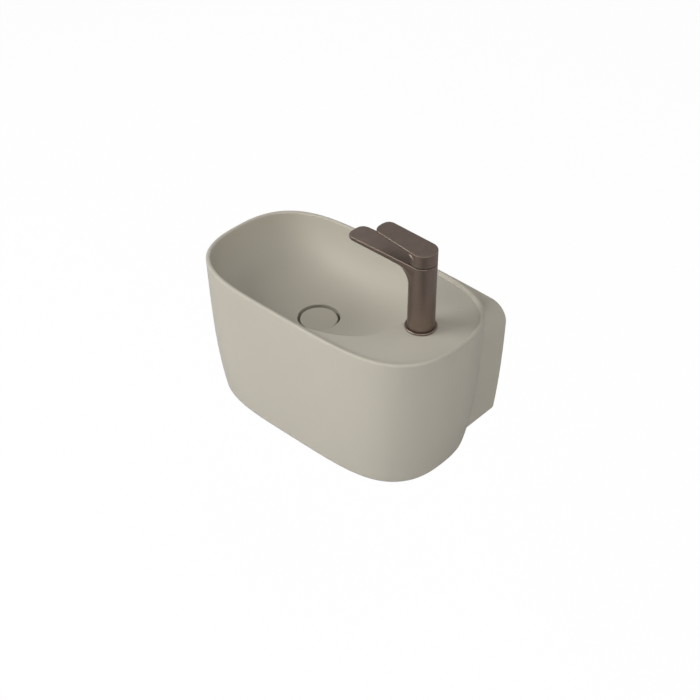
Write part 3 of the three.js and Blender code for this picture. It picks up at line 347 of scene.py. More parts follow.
def rod(radius, low, high, middle=(0.0, 0.0), axis="z", count=96):
    """A plain cutter rod along an axis, round a middle in the other two directions."""
    points, faces = turned([[0, low], [radius, low], [radius, high], [0, high]], count)
    if axis == "y":
        points = points[:, [0, 2, 1]]
        points = points + np.array([middle[0], 0, middle[1]])
    elif axis == "x":
        points = points[:, [2, 0, 1]]
        points = points + np.array([0, middle[0], middle[1]])
    else:
        points = points + np.array([middle[0], middle[1], 0])
    return points, faces


def slab(low, high):
    """A box between two corners, as a loft of two rings."""
    ring = [[low[0], low[1]], [high[0], low[1]], [high[0], high[1]], [low[0], high[1]]]
    return loft([[[x, y, z] for x, y in ring] for z in (low[2], high[2])])


def carve(piece, cutters, origin, sharp=CASTING_SHARP, mode="DIFFERENCE"):
    """Cuts forms out of a piece, or joins them to it, one after the other."""
    for points, faces in cutters:
        tool = new_piece("tool", points, faces, origin)
        step = piece.modifiers.new("cut", "BOOLEAN")
        step.operation = mode
        step.solver = "EXACT"
        step.object = tool
        graph = bpy.context.evaluated_depsgraph_get()
        mesh = bpy.data.meshes.new_from_object(piece.evaluated_get(graph))
        piece.modifiers.remove(step)
        old = piece.data
        piece.data = mesh
        bpy.data.meshes.remove(old)
        bpy.data.objects.remove(tool)
    soften(piece, sharp)
    return piece


def even_shading(piece):
    """Large flat faces keep their own direction in the smooth shading."""
    step = piece.modifiers.new("even_shading", "WEIGHTED_NORMAL")
    step.keep_sharp = True
    return piece


def merged_shape(piece):
    """A piece's mesh as points in rim millimetres and faces, to use it as a cutter."""
    mesh = piece.data
    points = np.empty(len(mesh.vertices) * 3)
    mesh.vertices.foreach_get("co", points)
    faces = [list(face.vertices) for face in mesh.polygons]
    bpy.data.objects.remove(piece)
    return points.reshape(-1, 3) / MM - RIM_ORIGIN, faces


# Ceramic

FINE_STEPS = 20000


def oval(angle, half_x, half_y, power_x, power_y):
    """Places on the oval where |x / half_x| ^ power_x + |y / half_y| ^ power_y is 1."""
    across = np.cos(angle)
    along = np.sin(angle)
    x = half_x * np.sign(across) * np.abs(across) ** (2 / power_x)
    y = half_y * np.sign(along) * np.abs(along) ** (2 / power_y)
    return x, y


def tub_oval(depth, inset=0.0):
    """The tub's outline at a depth: each half-width loses a straight and a curved taper."""
    share = np.asarray(depth) / HEIGHT
    half_x = RIM_HALF - END_TAPER * share - END_TUCK * share ** TUCK_POWER - inset
    half_y = DEPTH_HALF - SIDE_TAPER * share - SIDE_TUCK * share ** TUCK_POWER - inset
    return half_x, half_y, RIM_POWER_X, RIM_POWER_Y - FOOT_POWER_LOSS * share


def tub_points(angle, depth, inset=0.0):
    """Points on the tub at angles and depths."""
    angle, depth, inset = np.broadcast_arrays(angle, depth, inset)
    x, y = oval(angle, *tub_oval(depth, inset))
    return np.stack([x, y, -depth], axis=-1)


def even_angles(start, end, count):
    """Angles that part a stretch of the rim's outline into equal lengths."""
    fine = np.linspace(start, end, FINE_STEPS)
    x, y = oval(fine, *tub_oval(0.0))
    travelled = np.concatenate([[0], np.cumsum(np.hypot(np.diff(x), np.diff(y)))])
    return np.interp(np.linspace(0, travelled[-1], count), travelled, fine)


def foot_inset(depth, radius=FOOT_ROUND):
    """How far the rounded foot draws in the outline: a quarter circle below its start."""
    into = np.clip(np.asarray(depth) - (HEIGHT - radius), 0, radius)
    return radius - np.sqrt(radius ** 2 - into ** 2)


def block_side(depth):
    """Half-width of the wall block at a depth: it loses a tuck by a power of the depth's share."""
    return BLOCK_HALF_WIDTH - BLOCK_TUCK * (depth / HEIGHT) ** BLOCK_TUCK_POWER


CROWN_SLOPE = math.atan(2 * BLOCK_CROWN / (BLOCK_HALF_WIDTH - BLOCK_CORNER))
CORNER_DEPTH = BLOCK_TOP_DROP + BLOCK_CROWN + BLOCK_CORNER * math.cos(CROWN_SLOPE)
CROWN_END = block_side(CORNER_DEPTH) - BLOCK_CORNER * (1 - math.sin(CROWN_SLOPE))
CORNER_X = block_side(CORNER_DEPTH) - BLOCK_CORNER

HALVINGS = 48
NEAR_FINE = np.linspace(0.2, QUARTER, 6000)
ARC_STEPS = 14
FLAT_SHARES = np.linspace(0.1, 1.0, 7)
EDGE_ANGLES = np.linspace(0, QUARTER, 4)[1:]


def block_profile(x, depth, out_x, out_z):
    """One profile of the wall block from the tub to the wall.

    A ball rolls in the corner between the block's face and the tub. Its arc from the point
    where it touches the tub to the block's face is the fillet, and a straight run with a
    rounded edge goes on to the wall. Returns the points and the tub's angle at the start.
    """
    radius = FILLET_TOP + (FILLET_FOOT - FILLET_TOP) * depth / HEIGHT
    ball_x = x + radius * out_x
    ball_z = -depth + radius * out_z
    half_x, half_y, power_x, power_y = tub_oval(-ball_z)
    tub_x, tub_y = oval(NEAR_FINE, half_x, half_y, power_x, power_y)
    near = half_y * (1 - (ball_x / half_x) ** power_x) ** (1 / power_y)
    far = WALL_Y
    for _ in range(HALVINGS):
        half = (near + far) / 2
        if np.hypot(tub_x - ball_x, tub_y - half).min() < radius:
            near = half
        else:
            far = half
    touch = np.hypot(tub_x - ball_x, tub_y - far).argmin()
    toward = np.array([tub_x[touch] - ball_x, tub_y[touch] - far, 0.0])
    toward /= np.linalg.norm(toward)
    start = np.array([-out_x, 0.0, -out_z])
    between = math.acos(float(np.clip(start @ toward, -1, 1)))
    share = np.linspace(1, 0, ARC_STEPS + 1)[:, None]
    turn = np.sin((1 - share) * between) * start + np.sin(share * between) * toward
    turn /= math.sin(between)
    ball = np.array([ball_x, far, ball_z])
    arc = ball + radius * turn
    arc[0] = [tub_x[touch], tub_y[touch], ball_z]
    flat_end = WALL_Y - WALL_EDGE_ROUND
    flat_y = far + (flat_end - far) * FLAT_SHARES
    flat = np.stack([np.full(len(flat_y), x), flat_y, np.full(len(flat_y), -depth)], axis=-1)
    drop = WALL_EDGE_ROUND * (1 - np.cos(EDGE_ANGLES))
    edge = np.stack([x - drop * out_x, flat_end + WALL_EDGE_ROUND * np.sin(EDGE_ANGLES),
                     -depth - drop * out_z], axis=-1)
    return np.vstack([arc, flat, edge]), NEAR_FINE[touch]


def block_outline(crown_steps=56, corner_steps=18):
    """Places along the right half of the block's top, from the middle to the end of its corner.

    The crown falls with the square of the way out, and an arc goes on to the block's side.
    Each place is x and depth, with the way out of the block in x and z.
    """
    across = np.linspace(0, CROWN_END, crown_steps, endpoint=False)
    for x in across:
        slope = 2 * BLOCK_CROWN * x / CROWN_END ** 2
        out = np.array([slope, 1.0]) / math.hypot(slope, 1.0)
        yield x, BLOCK_TOP_DROP + BLOCK_CROWN * (x / CROWN_END) ** 2, out[0], out[1]
    for angle in np.linspace(CROWN_SLOPE, QUARTER, corner_steps):
        yield (CORNER_X + BLOCK_CORNER * math.sin(angle),
               CORNER_DEPTH - BLOCK_CORNER * math.cos(angle),
               math.sin(angle), max(0.0, math.cos(angle)))


def mirrored(points):
    """The same points on the other side of the middle."""
    return points * np.array([-1.0, 1.0, 1.0])


FRONT_STEPS = 300
LOWER_STEPS = 34
FOOT_STEPS = 9


def lower_rows(front):
    """Level outlines below the block's corner, from wall to wall round the front.

    Each is the right profile, the tub's front and the left profile. In the rounded foot
    the outline moves inward along its own normals, by the tub's radius at the front and by
    the block's larger one beside the wall.
    """
    foot_start = HEIGHT - BLOCK_FOOT_CORNER
    side_depths = np.linspace(CORNER_DEPTH, foot_start, LOWER_STEPS)
    foot_turns = np.linspace(0, QUARTER, FOOT_STEPS + 1)[1:]
    foot_depths = foot_start + BLOCK_FOOT_CORNER * np.sin(foot_turns)
    wall_run = len(FLAT_SHARES) + len(EDGE_ANGLES)
    side_rounds = np.concatenate([np.linspace(FOOT_ROUND, BLOCK_FOOT_CORNER, ARC_STEPS + 1),
                                  np.full(wall_run, BLOCK_FOOT_CORNER)])
    rows = []
    for depth in np.concatenate([side_depths, foot_depths]):
        profile, touch = block_profile(block_side(depth), depth, 1.0, 0.0)
        scale = (touch + QUARTER) / (front[0] + QUARTER)
        inner = tub_points(-QUARTER + (front[1:-1] + QUARTER) * scale, depth)
        row = np.vstack([profile[::-1], inner, mirrored(profile)])
        along = np.gradient(row[:, :2], axis=0)
        along /= np.linalg.norm(along, axis=1)[:, None]
        inward = np.stack([-along[:, 1], along[:, 0]], axis=-1)
        inward[np.sum(inward * row[:, :2], axis=1) > 0] *= -1
        inward[:wall_run] = [-1, 0]
        inward[-wall_run:] = [1, 0]
        rounds = np.concatenate([side_rounds[::-1], np.full(len(inner), FOOT_ROUND), side_rounds])
        row[:, :2] += inward * foot_inset(depth, rounds)[:, None]
        rows.append(row)
    return np.array(rows)


def ray_lengths(direction, half_x, half_y, power_x, power_y, middle):
    """Length of each ray from the drain to an oval, by halving."""
    near = np.zeros(len(direction))
    far = np.full(len(direction), RIM_LENGTH)
    for _ in range(HALVINGS):
        half = (near + far) / 2
        x = DRAIN_X + direction[:, 0] * half - middle
        y = direction[:, 1] * half
        inside = np.abs(x / half_x) ** power_x + np.abs(y / half_y) ** power_y < 1
        near = np.where(inside, half, near)
        far = np.where(inside, far, half)
    return near


def bowl_edge(direction, wall):
    """Length to the bowl's edge: the inner wall at the left, an oval at the right."""
    edge = ray_lengths(direction, BOWL_HALF, DEPTH_HALF - RIM_WALL,
                       BOWL_POWER, BOWL_POWER, BOWL_MIDDLE)
    beyond = DRAIN_X + direction[:, 0] * edge > BOWL_MIDDLE
    return np.where(beyond, np.minimum(edge, wall), wall)


def bowl_powers(direction):
    """Powers of the bowl's curve: steep walls at the left, an easy slope to the deck."""
    ease = np.maximum(0, direction[:, 0]) ** BOWL_EASE_POWER
    return (BOWL_OUT_POWER - BOWL_OUT_EASE * ease,
            BOWL_DOWN_POWER - BOWL_DOWN_EASE * ease)


def drain_ring(direction, length, depth):
    """Points at lengths along the rays from the drain, at depths."""
    length, depth, _ = np.broadcast_arrays(length, depth, direction[:, 0])
    return np.stack([DRAIN_X + direction[:, 0] * length, direction[:, 1] * length, -depth], axis=-1)


ROUND_TURNS = np.linspace(0, QUARTER, 8)
DECK_SHARES = (0.2, 0.4, 0.6, 0.8)
BOWL_SHARES = np.linspace(0, 1, 61)[1:] ** 1.15
SKIN_SHARES = np.linspace(1, 0, 26)


def inside_rings(angle):
    """Rings from the crown of the rim over the inner rim, deck and bowl to the drain's recess.

    In the bowl, the length along each ray falls by a power of the cosine, and the depth
    grows by a power of the sine. The roundings above and below it are quarter circles.
    """
    start = tub_points(angle, 0.0, RIM_WALL)
    offset = start[:, :2] - np.array([DRAIN_X, 0])
    wall = np.linalg.norm(offset, axis=1)
    direction = offset / wall[:, None]
    rings = []
    for turn in ROUND_TURNS:
        inset = RIM_WALL - RIM_INNER_ROUND * (1 - math.sin(turn))
        ring = tub_points(angle, 0.0, inset)
        ring[:, 2] = -RIM_INNER_ROUND * (1 - math.cos(turn))
        rings.append(ring)
    edge = bowl_edge(direction, wall)
    ledge = wall - edge
    hollow = np.minimum(DECK_DROP - RIM_INNER_ROUND, ledge / 2)
    crest = np.minimum(DECK_EDGE_ROUND, ledge / 2)
    for turn in ROUND_TURNS:
        rings.append(drain_ring(direction, wall - hollow * (1 - math.cos(turn)),
                                DECK_DROP - hollow * (1 - math.sin(turn))))
    for share in DECK_SHARES:
        flat = (wall - hollow) * (1 - share) + (edge + crest) * share
        rings.append(drain_ring(direction, flat, DECK_DROP))
    for turn in ROUND_TURNS:
        rings.append(drain_ring(direction, edge + crest * (1 - math.sin(turn)),
                                DECK_DROP + crest * (1 - math.cos(turn))))
    out_power, down_power = bowl_powers(direction)
    top = DECK_DROP + crest
    recess = RECESS_RADIUS + RECESS_EDGE_ROUND
    last = np.arccos((recess / edge) ** (out_power / 2))
    for share in BOWL_SHARES:
        turn = last * share
        length = edge * np.cos(turn) ** (2 / out_power)
        depth = top + (BOWL_DEPTH - top) * np.sin(turn) ** (2 / down_power)
        rings.append(drain_ring(direction, length, depth))
    rim = -rings[-1][:, 2]
    for turn in np.linspace(0, QUARTER, 5)[1:]:
        rings.append(drain_ring(direction, recess - RECESS_EDGE_ROUND * math.sin(turn),
                                rim + RECESS_EDGE_ROUND * (1 - math.cos(turn))))
    rings.append(drain_ring(direction, RECESS_RADIUS, RECESS_FLOOR))
    rings.append(drain_ring(direction, DRAIN_HOLE + OVERRUN, RECESS_FLOOR))
    return np.array(rings)


def outer_and_inside():
    """The casting's outer skin, rim, deck and bowl as one closed mesh, still solid below.

    Profiles cover the block's top, level outlines what lies below its corner, and rings the
    tub above them, from a low edge that follows both up to the rim and into the bowl.
    """
    right = [block_profile(*place) for place in block_outline()]
    top_right = np.array([points for points, _ in right[::-1]])
    touch = np.array([angle for _, angle in right[::-1]])
    top = np.concatenate([top_right, mirrored(top_right[::-1])[1:]])
    front = even_angles(touch[0], -math.pi - touch[0], FRONT_STEPS)
    back = np.concatenate([touch, math.pi - touch[::-1][1:]]) - 2 * math.pi
    angle = np.concatenate([front, back[::-1][1:-1]])
    low = np.concatenate([np.full(len(front), CORNER_DEPTH), -top[::-1, 0, 2][1:-1]])
    lower = lower_rows(front)
    rings = [tub_points(angle, RIM_OUTER_ROUND + (low - RIM_OUTER_ROUND) * share)
             for share in SKIN_SHARES]
    for turn in np.linspace(0, QUARTER, 9)[1:]:
        rings.append(tub_points(angle, RIM_OUTER_ROUND * (1 - math.sin(turn)),
                                RIM_OUTER_ROUND * (1 - math.cos(turn))))
    rings = np.concatenate([np.array(rings), inside_rings(angle)])
    points = [lower.reshape(-1, 3), top.reshape(-1, 3)]
    faces = grid_faces(*lower.shape[:2], False).tolist()
    first_top = len(points[0])
    faces += grid_faces(*top.shape[:2], False, first_top).tolist()
    first_ring = first_top + len(points[1])
    ring_points, ring_faces = loft(rings, (False, True))
    points.append(ring_points)
    faces += [[corner + first_ring for corner in face] for face in ring_faces]
    rows, columns = lower.shape[:2]
    right_edge = [row * columns for row in range(rows)][::-1]
    left_edge = [(row + 1) * columns - 1 for row in range(rows)]
    top_edge = [first_top + (row + 1) * top.shape[1] - 1 for row in range(top.shape[0])]
    faces.append(right_edge + top_edge[1:-1] + left_edge)
    faces.append(list(range((rows - 1) * columns, rows * columns)))
    return np.vstack(points), faces


def hollow_cutter():
    """The hollow underside: tub and block drawn in by their walls, less the bowl's own wall.

    The bowl's outside has the bowl's curve, with its length and depth larger by the wall.
    """
    angle = even_angles(0, -2 * math.pi, 181)[:-1]
    depths = np.append(np.linspace(DECK_UNDERSIDE, HEIGHT, 22), HEIGHT + OVERRUN)
    tub = loft([tub_points(angle, depth, SHELL_WALL) for depth in depths])
    line = []
    for x, depth, out_x, out_z in block_outline(24, 12):
        line.append([x - BLOCK_SKIN * out_x, depth + BLOCK_SKIN * out_z])
    for depth in np.linspace(CORNER_DEPTH, HEIGHT, 14)[1:]:
        line.append([block_side(depth) - BLOCK_SKIN, depth])
    line.append([block_side(HEIGHT) - BLOCK_SKIN, HEIGHT + OVERRUN])
    line = np.array(line)
    line = np.vstack([line, (line * [-1, 1])[::-1][:-1]])
    block = loft([np.stack([line[:, 0], np.full(len(line), y), -line[:, 1]], axis=-1)
                  for y in (BLOCK_ROOT, WALL_Y - BACK_PLATE)])
    offset = tub_points(angle, 0.0, RIM_WALL)[:, :2] - np.array([DRAIN_X, 0])
    wall = np.linalg.norm(offset, axis=1)
    direction = offset / wall[:, None]
    edge = bowl_edge(direction, wall) + BOWL_WALL
    out_power, down_power = bowl_powers(direction)
    rings = [drain_ring(direction, edge, -OVERRUN)]
    for turn in np.linspace(0, QUARTER, 30)[:-1]:
        rings.append(drain_ring(direction, edge * np.cos(turn) ** (2 / out_power),
                                DECK_DROP + (BOWL_DEPTH + BOWL_WALL - DECK_DROP)
                                * np.sin(turn) ** (2 / down_power)))
    hollow = new_piece("hollow", *tub)
    carve(hollow, [block], RIM_ORIGIN, mode="UNION")
    boss = rod(RECESS_RADIUS + BOSS_WALL, -DRAIN_UNDERSIDE, -OVERRUN, (DRAIN_X, 0))
    carve(hollow, [loft(rings), boss], RIM_ORIGIN)
    carve(hollow, wall_and_pipe_cutters(), RIM_ORIGIN, mode="UNION")
    return merged_shape(hollow)


def wall_and_pipe_cutters():
    """The notch at the wall, and the holes for the waste, the tap and the two wall bolts."""
    behind = WALL_Y - BACK_PLATE - OVERRUN
    bolts = [rod(BOLT_HOLE, behind, WALL_Y + OVERRUN,
                 (side * BOLT_SPACING / 2, -BOLT_DROP), "y", SMALL_HOLE_STEPS)
             for side in (-1, 1)]
    return [
        slab((-NOTCH_HALF_WIDTH, behind, -HEIGHT - OVERRUN),
             (NOTCH_HALF_WIDTH, WALL_Y + OVERRUN, -BAND_DROP)),
        rod(DRAIN_HOLE, -DRAIN_UNDERSIDE - OVERRUN, -RECESS_FLOOR + OVERRUN, (DRAIN_X, 0)),
        rod(TAP_HOLE, -DECK_UNDERSIDE - OVERRUN, 0, (TAP_X, 0)),
        *bolts,
    ]


def make_basin():
    """The ceramic casting with its hollow underside, wall notch and holes."""
    basin = new_piece("basin_casting", *outer_and_inside())
    even_shading(carve(basin, [hollow_cutter()], RIM_ORIGIN, sharp=CERAMIC_SHARP))
    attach(basin, "root")
    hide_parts("basin_body")
    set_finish(basin, "ceramic")
    return basin


# Tap

BACK_TURNS = 64
CAP_TURNS = 56
SIDE_SHARES = np.linspace(0, 1, 15)[1:-1]


def nosed_ring(level):
    """One level section of a tap piece: a round back, two straight sides and an oval cap.

    Its height changes evenly with the distance in front of the column's axis.
    """
    cap = min(level["cap"], level["reach"])
    straight = level["reach"] - cap
    back = np.linspace(-QUARTER, QUARTER, BACK_TURNS + 1)
    points = [np.stack([level["radius"] * np.cos(back), level["radius"] * np.sin(back)], axis=-1)]
    side = np.stack([-straight * SIDE_SHARES,
                     level["radius"] + (level["nose"] - level["radius"]) * SIDE_SHARES], axis=-1)
    points.append(side)
    x, y = oval(np.linspace(QUARTER, 3 * QUARTER, CAP_TURNS + 1),
                cap, level["nose"], level["power"], level["power"])
    points.append(np.stack([x - straight, y], axis=-1))
    points.append(side[::-1] * [1, -1])
    plan = np.vstack(points)
    height = level["z"] + level["rise"] * np.maximum(0, -plan[:, 0])
    return np.column_stack([plan, height])


def nosed_form(radius, foot, top, reach, nose, neck, tip, bend, edge, chamfer, cap, power, rise):
    """A round column that bends into a flat nose, as level sections.

    The bend is a quarter circle from the column's front to the nose's underside, which
    thins from neck to tip. A rounded lower edge and a small rounded top edge close it.
    """
    slope = rise / reach
    column = {"radius": radius, "nose": radius, "cap": radius,
              "power": 2.0, "rise": 0.0, "reach": radius}
    narrow = nose - edge
    bend_low = top - neck - bend
    foot_round = min(TAP_FOOT_ROUND, (bend_low - foot) / 4)
    levels = []
    for turn in np.linspace(0, QUARTER, 4):
        inset = foot_round * (1 - math.sin(turn))
        levels.append({**column, "radius": radius - inset, "nose": radius - inset,
                       "cap": radius - inset, "reach": radius - inset,
                       "z": foot + foot_round * (1 - math.cos(turn))})
    for share in np.linspace(0, 1, 8)[1:-1]:
        levels.append({**column, "z": foot + foot_round + (bend_low - foot - foot_round) * share})
    for turn in np.linspace(0, QUARTER, 26):
        share = 1 - math.cos(turn)
        levels.append({**column, "z": bend_low + bend * math.sin(turn),
                       "reach": radius + bend * share,
                       "nose": radius + (narrow - radius) * share,
                       "cap": radius + (cap - edge - radius) * share,
                       "power": 2 + (power - 2) * share, "rise": slope * share})
    bend_reach = radius + bend
    flat_reach = reach - edge
    for share in np.linspace(0, 1, 15)[1:]:
        levels.append({**column, "z": top - neck - (tip - neck) * share,
                       "reach": bend_reach + (flat_reach - bend_reach) * share, "nose": narrow,
                       "cap": cap - edge, "power": power, "rise": slope})
    for turn in np.linspace(0, QUARTER, 12)[1:]:
        levels.append({**column, "z": top - tip + edge * (1 - math.cos(turn)),
                       "reach": flat_reach + edge * math.sin(turn),
                       "nose": narrow + edge * math.sin(turn),
                       "cap": cap - edge * (1 - math.sin(turn)), "power": power, "rise": slope})
    side = levels[-1]
    for turn in np.linspace(0, QUARTER, 5):
        inset = chamfer * (1 - math.cos(turn))
        levels.append({**side, "z": top - chamfer * (1 - math.sin(turn)), "radius": radius - inset,
                       "reach": reach - inset, "nose": nose - inset, "cap": cap - inset})
    return loft([nosed_ring(level) for level in levels])


def make_tap_body():
    """The cast column and spout, with cartridge pocket, outlet and tail holes."""
    form = nosed_form(radius=TAP_RADIUS, foot=BODY_LOW, top=TAP_HEIGHT, reach=SPOUT_REACH,
                      nose=SPOUT_TIP_HALF, neck=SPOUT_NECK_THICKNESS, tip=SPOUT_TIP_THICKNESS,
                      bend=SPOUT_NECK_RADIUS, edge=SPOUT_EDGE_ROUND, chamfer=TAP_EDGE_ROUND,
                      cap=SPOUT_CAP, power=SPOUT_POWER, rise=-SPOUT_FALL)
    body = new_piece("tap_casting", *form, DECK_ORIGIN)
    outlet_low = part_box("aerator_shell")[0][2] / MM - DECK_ORIGIN[2]
    cutters = [
        rod(COUNTERBORE, TAP_HEIGHT - COUNTERBORE_DEPTH, TAP_HEIGHT + OVERRUN),
        rod(POCKET, TAP_HEIGHT - POCKET_DEPTH, TAP_HEIGHT - COUNTERBORE_DEPTH + POCKET_OVERLAP),
        rod(OUTLET_RADIUS, outlet_low - OVERRUN, outlet_low + OUTLET_DEPTH, (OUTLET_X, 0)),
        rod(STUD_HOLE, BODY_LOW - OVERRUN, BODY_LOW + STUD_POCKET,
            (STUD_SHIFT, 0), count=SMALL_HOLE_STEPS),
    ]
    for side in (1, -1):
        cutters.append(rod(INLET_HOLE, BODY_LOW - OVERRUN, BODY_LOW + INLET_POCKET,
                           (INLET_SHIFT, side * INLET_SPREAD), count=SMALL_HOLE_STEPS))
    even_shading(carve(body, cutters, DECK_ORIGIN, sharp=TAP_SHARP))
    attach(body, "root")
    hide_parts("tap_body")
    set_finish(body, "bronze")
    return body


def make_lever():
    """The flat lever and its round head, hollow inside round the stem and hinge."""
    form = nosed_form(radius=TAP_RADIUS, foot=LEVER_GAP, top=LEVER_GAP + LEVER_HEAD,
                      reach=LEVER_REACH, nose=LEVER_TIP_HALF, neck=LEVER_NECK_THICKNESS,
                      tip=LEVER_TIP_THICKNESS, bend=LEVER_NECK_RADIUS, edge=LEVER_EDGE_ROUND,
                      chamfer=TAP_EDGE_ROUND, cap=LEVER_CAP, power=LEVER_POWER, rise=LEVER_RISE)
    lever = new_piece("lever_casting", *form, HEAD_ORIGIN)
    below = LEVER_GAP - OVERRUN
    hollow = new_piece("lever_hollow", *rod(LEVER_HOLLOW, below, LEVER_HOLLOW_TOP), RIM_ORIGIN)
    kept = [slab((-SOCKET_FRONT, -SOCKET_HALF, SOCKET_LOW),
                 (SOCKET_BACK, SOCKET_HALF, LEVER_HOLLOW_TOP + OVERRUN))]
    lug_start = HINGE_SHIFT - LUG_REACH
    lug_top = HINGE_HEIGHT + LUG_REACH
    for side in (-1, 1):
        inner, outer = sorted((side * LUG_INNER, side * LUG_OUTER))
        kept.append(slab((lug_start, inner, LEVER_GAP), (TAP_RADIUS, outer, lug_top)))
    carve(hollow, kept, RIM_ORIGIN)
    cutters = [
        merged_shape(hollow),
        slab((lug_start, -LUG_INNER, below),
             (HINGE_SHIFT + HINGE_SLOT_REACH, LUG_INNER, lug_top + SEAT)),
        rod(BALL_HOLE, -SOCKET_FRONT - OVERRUN, SOCKET_BACK + SEAT,
            (0.0, BALL_HEIGHT), "x", SMALL_HOLE_STEPS),
        slab((-SOCKET_FRONT - OVERRUN, -SLIT_HALF, below),
             (SOCKET_BACK + OVERRUN, SLIT_HALF, BALL_HEIGHT)),
        rod(PIN_HOLE, -LUG_OUTER - SEAT, LUG_OUTER + SEAT,
            (HINGE_SHIFT, HINGE_HEIGHT), "y", PIN_HOLE_STEPS),
    ]
    even_shading(carve(lever, cutters, HEAD_ORIGIN, sharp=TAP_SHARP))
    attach(lever, "lever")
    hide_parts("lever_handle")
    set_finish(lever, "bronze")
    return lever


# Round pieces, as half sections in millimetres

CORNER_SHARE = 0.45
FINE_TURN_STEPS = 160
WASTE_TURN_STEPS = 128
STUD_TURN_STEPS = 48
TAIL_TURN_STEPS = 64


def rounded(section, radius, steps=4):
    """A half section with each corner replaced by an arc-like curve of the given size.

    Each corner becomes a quadratic curve between points set back along its two edges.
    """
    section = np.asarray(section, dtype=float)
    result = []
    for at, corner in enumerate(section):
        before = section[at - 1] - corner
        after = section[(at + 1) % len(section)] - corner
        room = min(radius, np.linalg.norm(before) * CORNER_SHARE,
                   np.linalg.norm(after) * CORNER_SHARE)
        if corner[0] == 0 or room <= 0:
            result.append(corner)
            continue
        start = corner + before / np.linalg.norm(before) * room
        end = corner + after / np.linalg.norm(after) * room
        for share in np.linspace(0, 1, steps + 1):
            result.append((1 - share) ** 2 * start + 2 * share * (1 - share) * corner
                          + share ** 2 * end)
    return np.array(result)


def node_box(node):
    """The middle, low corner and high corner of a CAD node's box in millimetres."""
    low, high = (np.array(corner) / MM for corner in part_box(node))
    return (low + high) / 2, low, high


def thread(radius, low, high, pitch, depth):
    """Outer points of a screw thread between two heights, as shallow ribs.

    Each pitch climbs from the root to the crest at the full radius, and falls back to the
    root.
    """
    crest_start, crest_end = THREAD_CREST_SHARES
    points = []
    for index in range(int((high - low) / pitch)):
        base = low + index * pitch
        points += [[radius - depth, base], [radius, base + pitch * crest_start],
                   [radius, base + pitch * crest_end], [radius - depth, base + pitch]]
    return points


def add_ring(name, node, inner, body, slot_name, soft=0.2, axis="z"):
    """A softened ring that fills the box of a round CAD node, but for a bore."""
    middle, low, high = node_box(node)
    outer = (high[0] - low[0]) / 2
    across = "xyz".index(axis)
    ends = low[across] - middle[across], high[across] - middle[across]
    section = [[inner, ends[0]], [outer, ends[0]], [outer, ends[1]], [inner, ends[1]]]
    points, faces = turned(rounded(section, min(soft, (ends[1] - ends[0]) / 4)))
    if axis == "y":
        points = points[:, [0, 2, 1]]
    return stand_in(new_piece(name, points, faces, middle, ROUND_SHARP), node, body, slot_name)


def add_threaded_rod(name, node, pitch, depth, axis="z"):
    """A steel stud with a thread along its whole length."""
    middle, low, high = node_box(node)
    radius = (high[0] - low[0]) / 2
    across = "xyz".index(axis)
    half = high[across] - middle[across]
    section = [[0, -half], [radius - depth, -half]]
    section += thread(radius, -half + depth, half - depth, pitch, depth)
    section += [[radius - depth, half], [0, half]]
    points, faces = turned(section, STUD_TURN_STEPS)
    if axis == "y":
        points = points[:, [0, 2, 1]]
    return stand_in(new_piece(name, points, faces, middle, ROUND_SHARP), node, "root", "steel")


def add_turned(name, node, section, body, slot_name, soft=0.3, count=96):
    """A turned piece on a CAD node's axis, from a half section that starts at its box's foot."""
    middle, low, high = node_box(node)
    foot = np.array([middle[0], middle[1], low[2]])
    points, faces = turned(rounded(section, soft), count)
    return stand_in(new_piece(name, points, faces, foot, ROUND_SHARP), node, body, slot_name)


def stand_in(piece, node, body, slot_name):
    """A piece rides on a body, stands for a CAD node and takes a finish."""
    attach(piece, body)
    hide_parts(node)
    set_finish(piece, slot_name)
    return piece


def make_base_ring():
    """The raised-lip ring at the tap's foot."""
    section = rounded(FOOT_RING_SECTION, FOOT_RING_EDGE_ROUND)
    piece = new_piece("tap_foot_ring", *turned(section, FINE_TURN_STEPS), DECK_ORIGIN, ROUND_SHARP)
    return stand_in(piece, "tap_base_ring", "root", "bronze")


def make_cover():
    """The ceramic drain cover with a softly rounded edge."""
    high = -COVER_SINK
    low = high - COVER_THICKNESS
    section = rounded([[0, low], [COVER_RADIUS, low], [COVER_RADIUS, high], [0, high]],
                      COVER_EDGE_ROUND, steps=8)
    piece = new_piece("drain_cover", *turned(section, FINE_TURN_STEPS), WASTE_ORIGIN, ROUND_SHARP)
    return stand_in(piece, "plug_cover", "plug", "ceramic")


def make_waste_tube():
    """The waste's flange and tube with its screw thread as shallow ribs."""
    flange_top = -FLANGE_DROP
    flange_low = flange_top - FLANGE_THICKNESS
    low = BOWL_DEPTH - WASTE_TAIL
    thread_top = flange_low - THREAD_DROP
    section = [[WASTE_BORE, low], [WASTE_END_RADIUS, low]]
    section += thread(WASTE_RADIUS, low + WASTE_THREAD_MARGIN, thread_top - WASTE_THREAD_MARGIN,
                      WASTE_THREAD_PITCH, WASTE_THREAD_DEPTH)
    section += [[WASTE_RADIUS, thread_top], [WASTE_RADIUS, flange_low], [FLANGE_RADIUS, flange_low],
                [FLANGE_RADIUS, flange_top], [WASTE_BORE, flange_top]]
    piece = new_piece("waste_tube", *turned(section, WASTE_TURN_STEPS), WASTE_ORIGIN, ROUND_SHARP)
    return stand_in(piece, "waste_body", "root", "bronze")


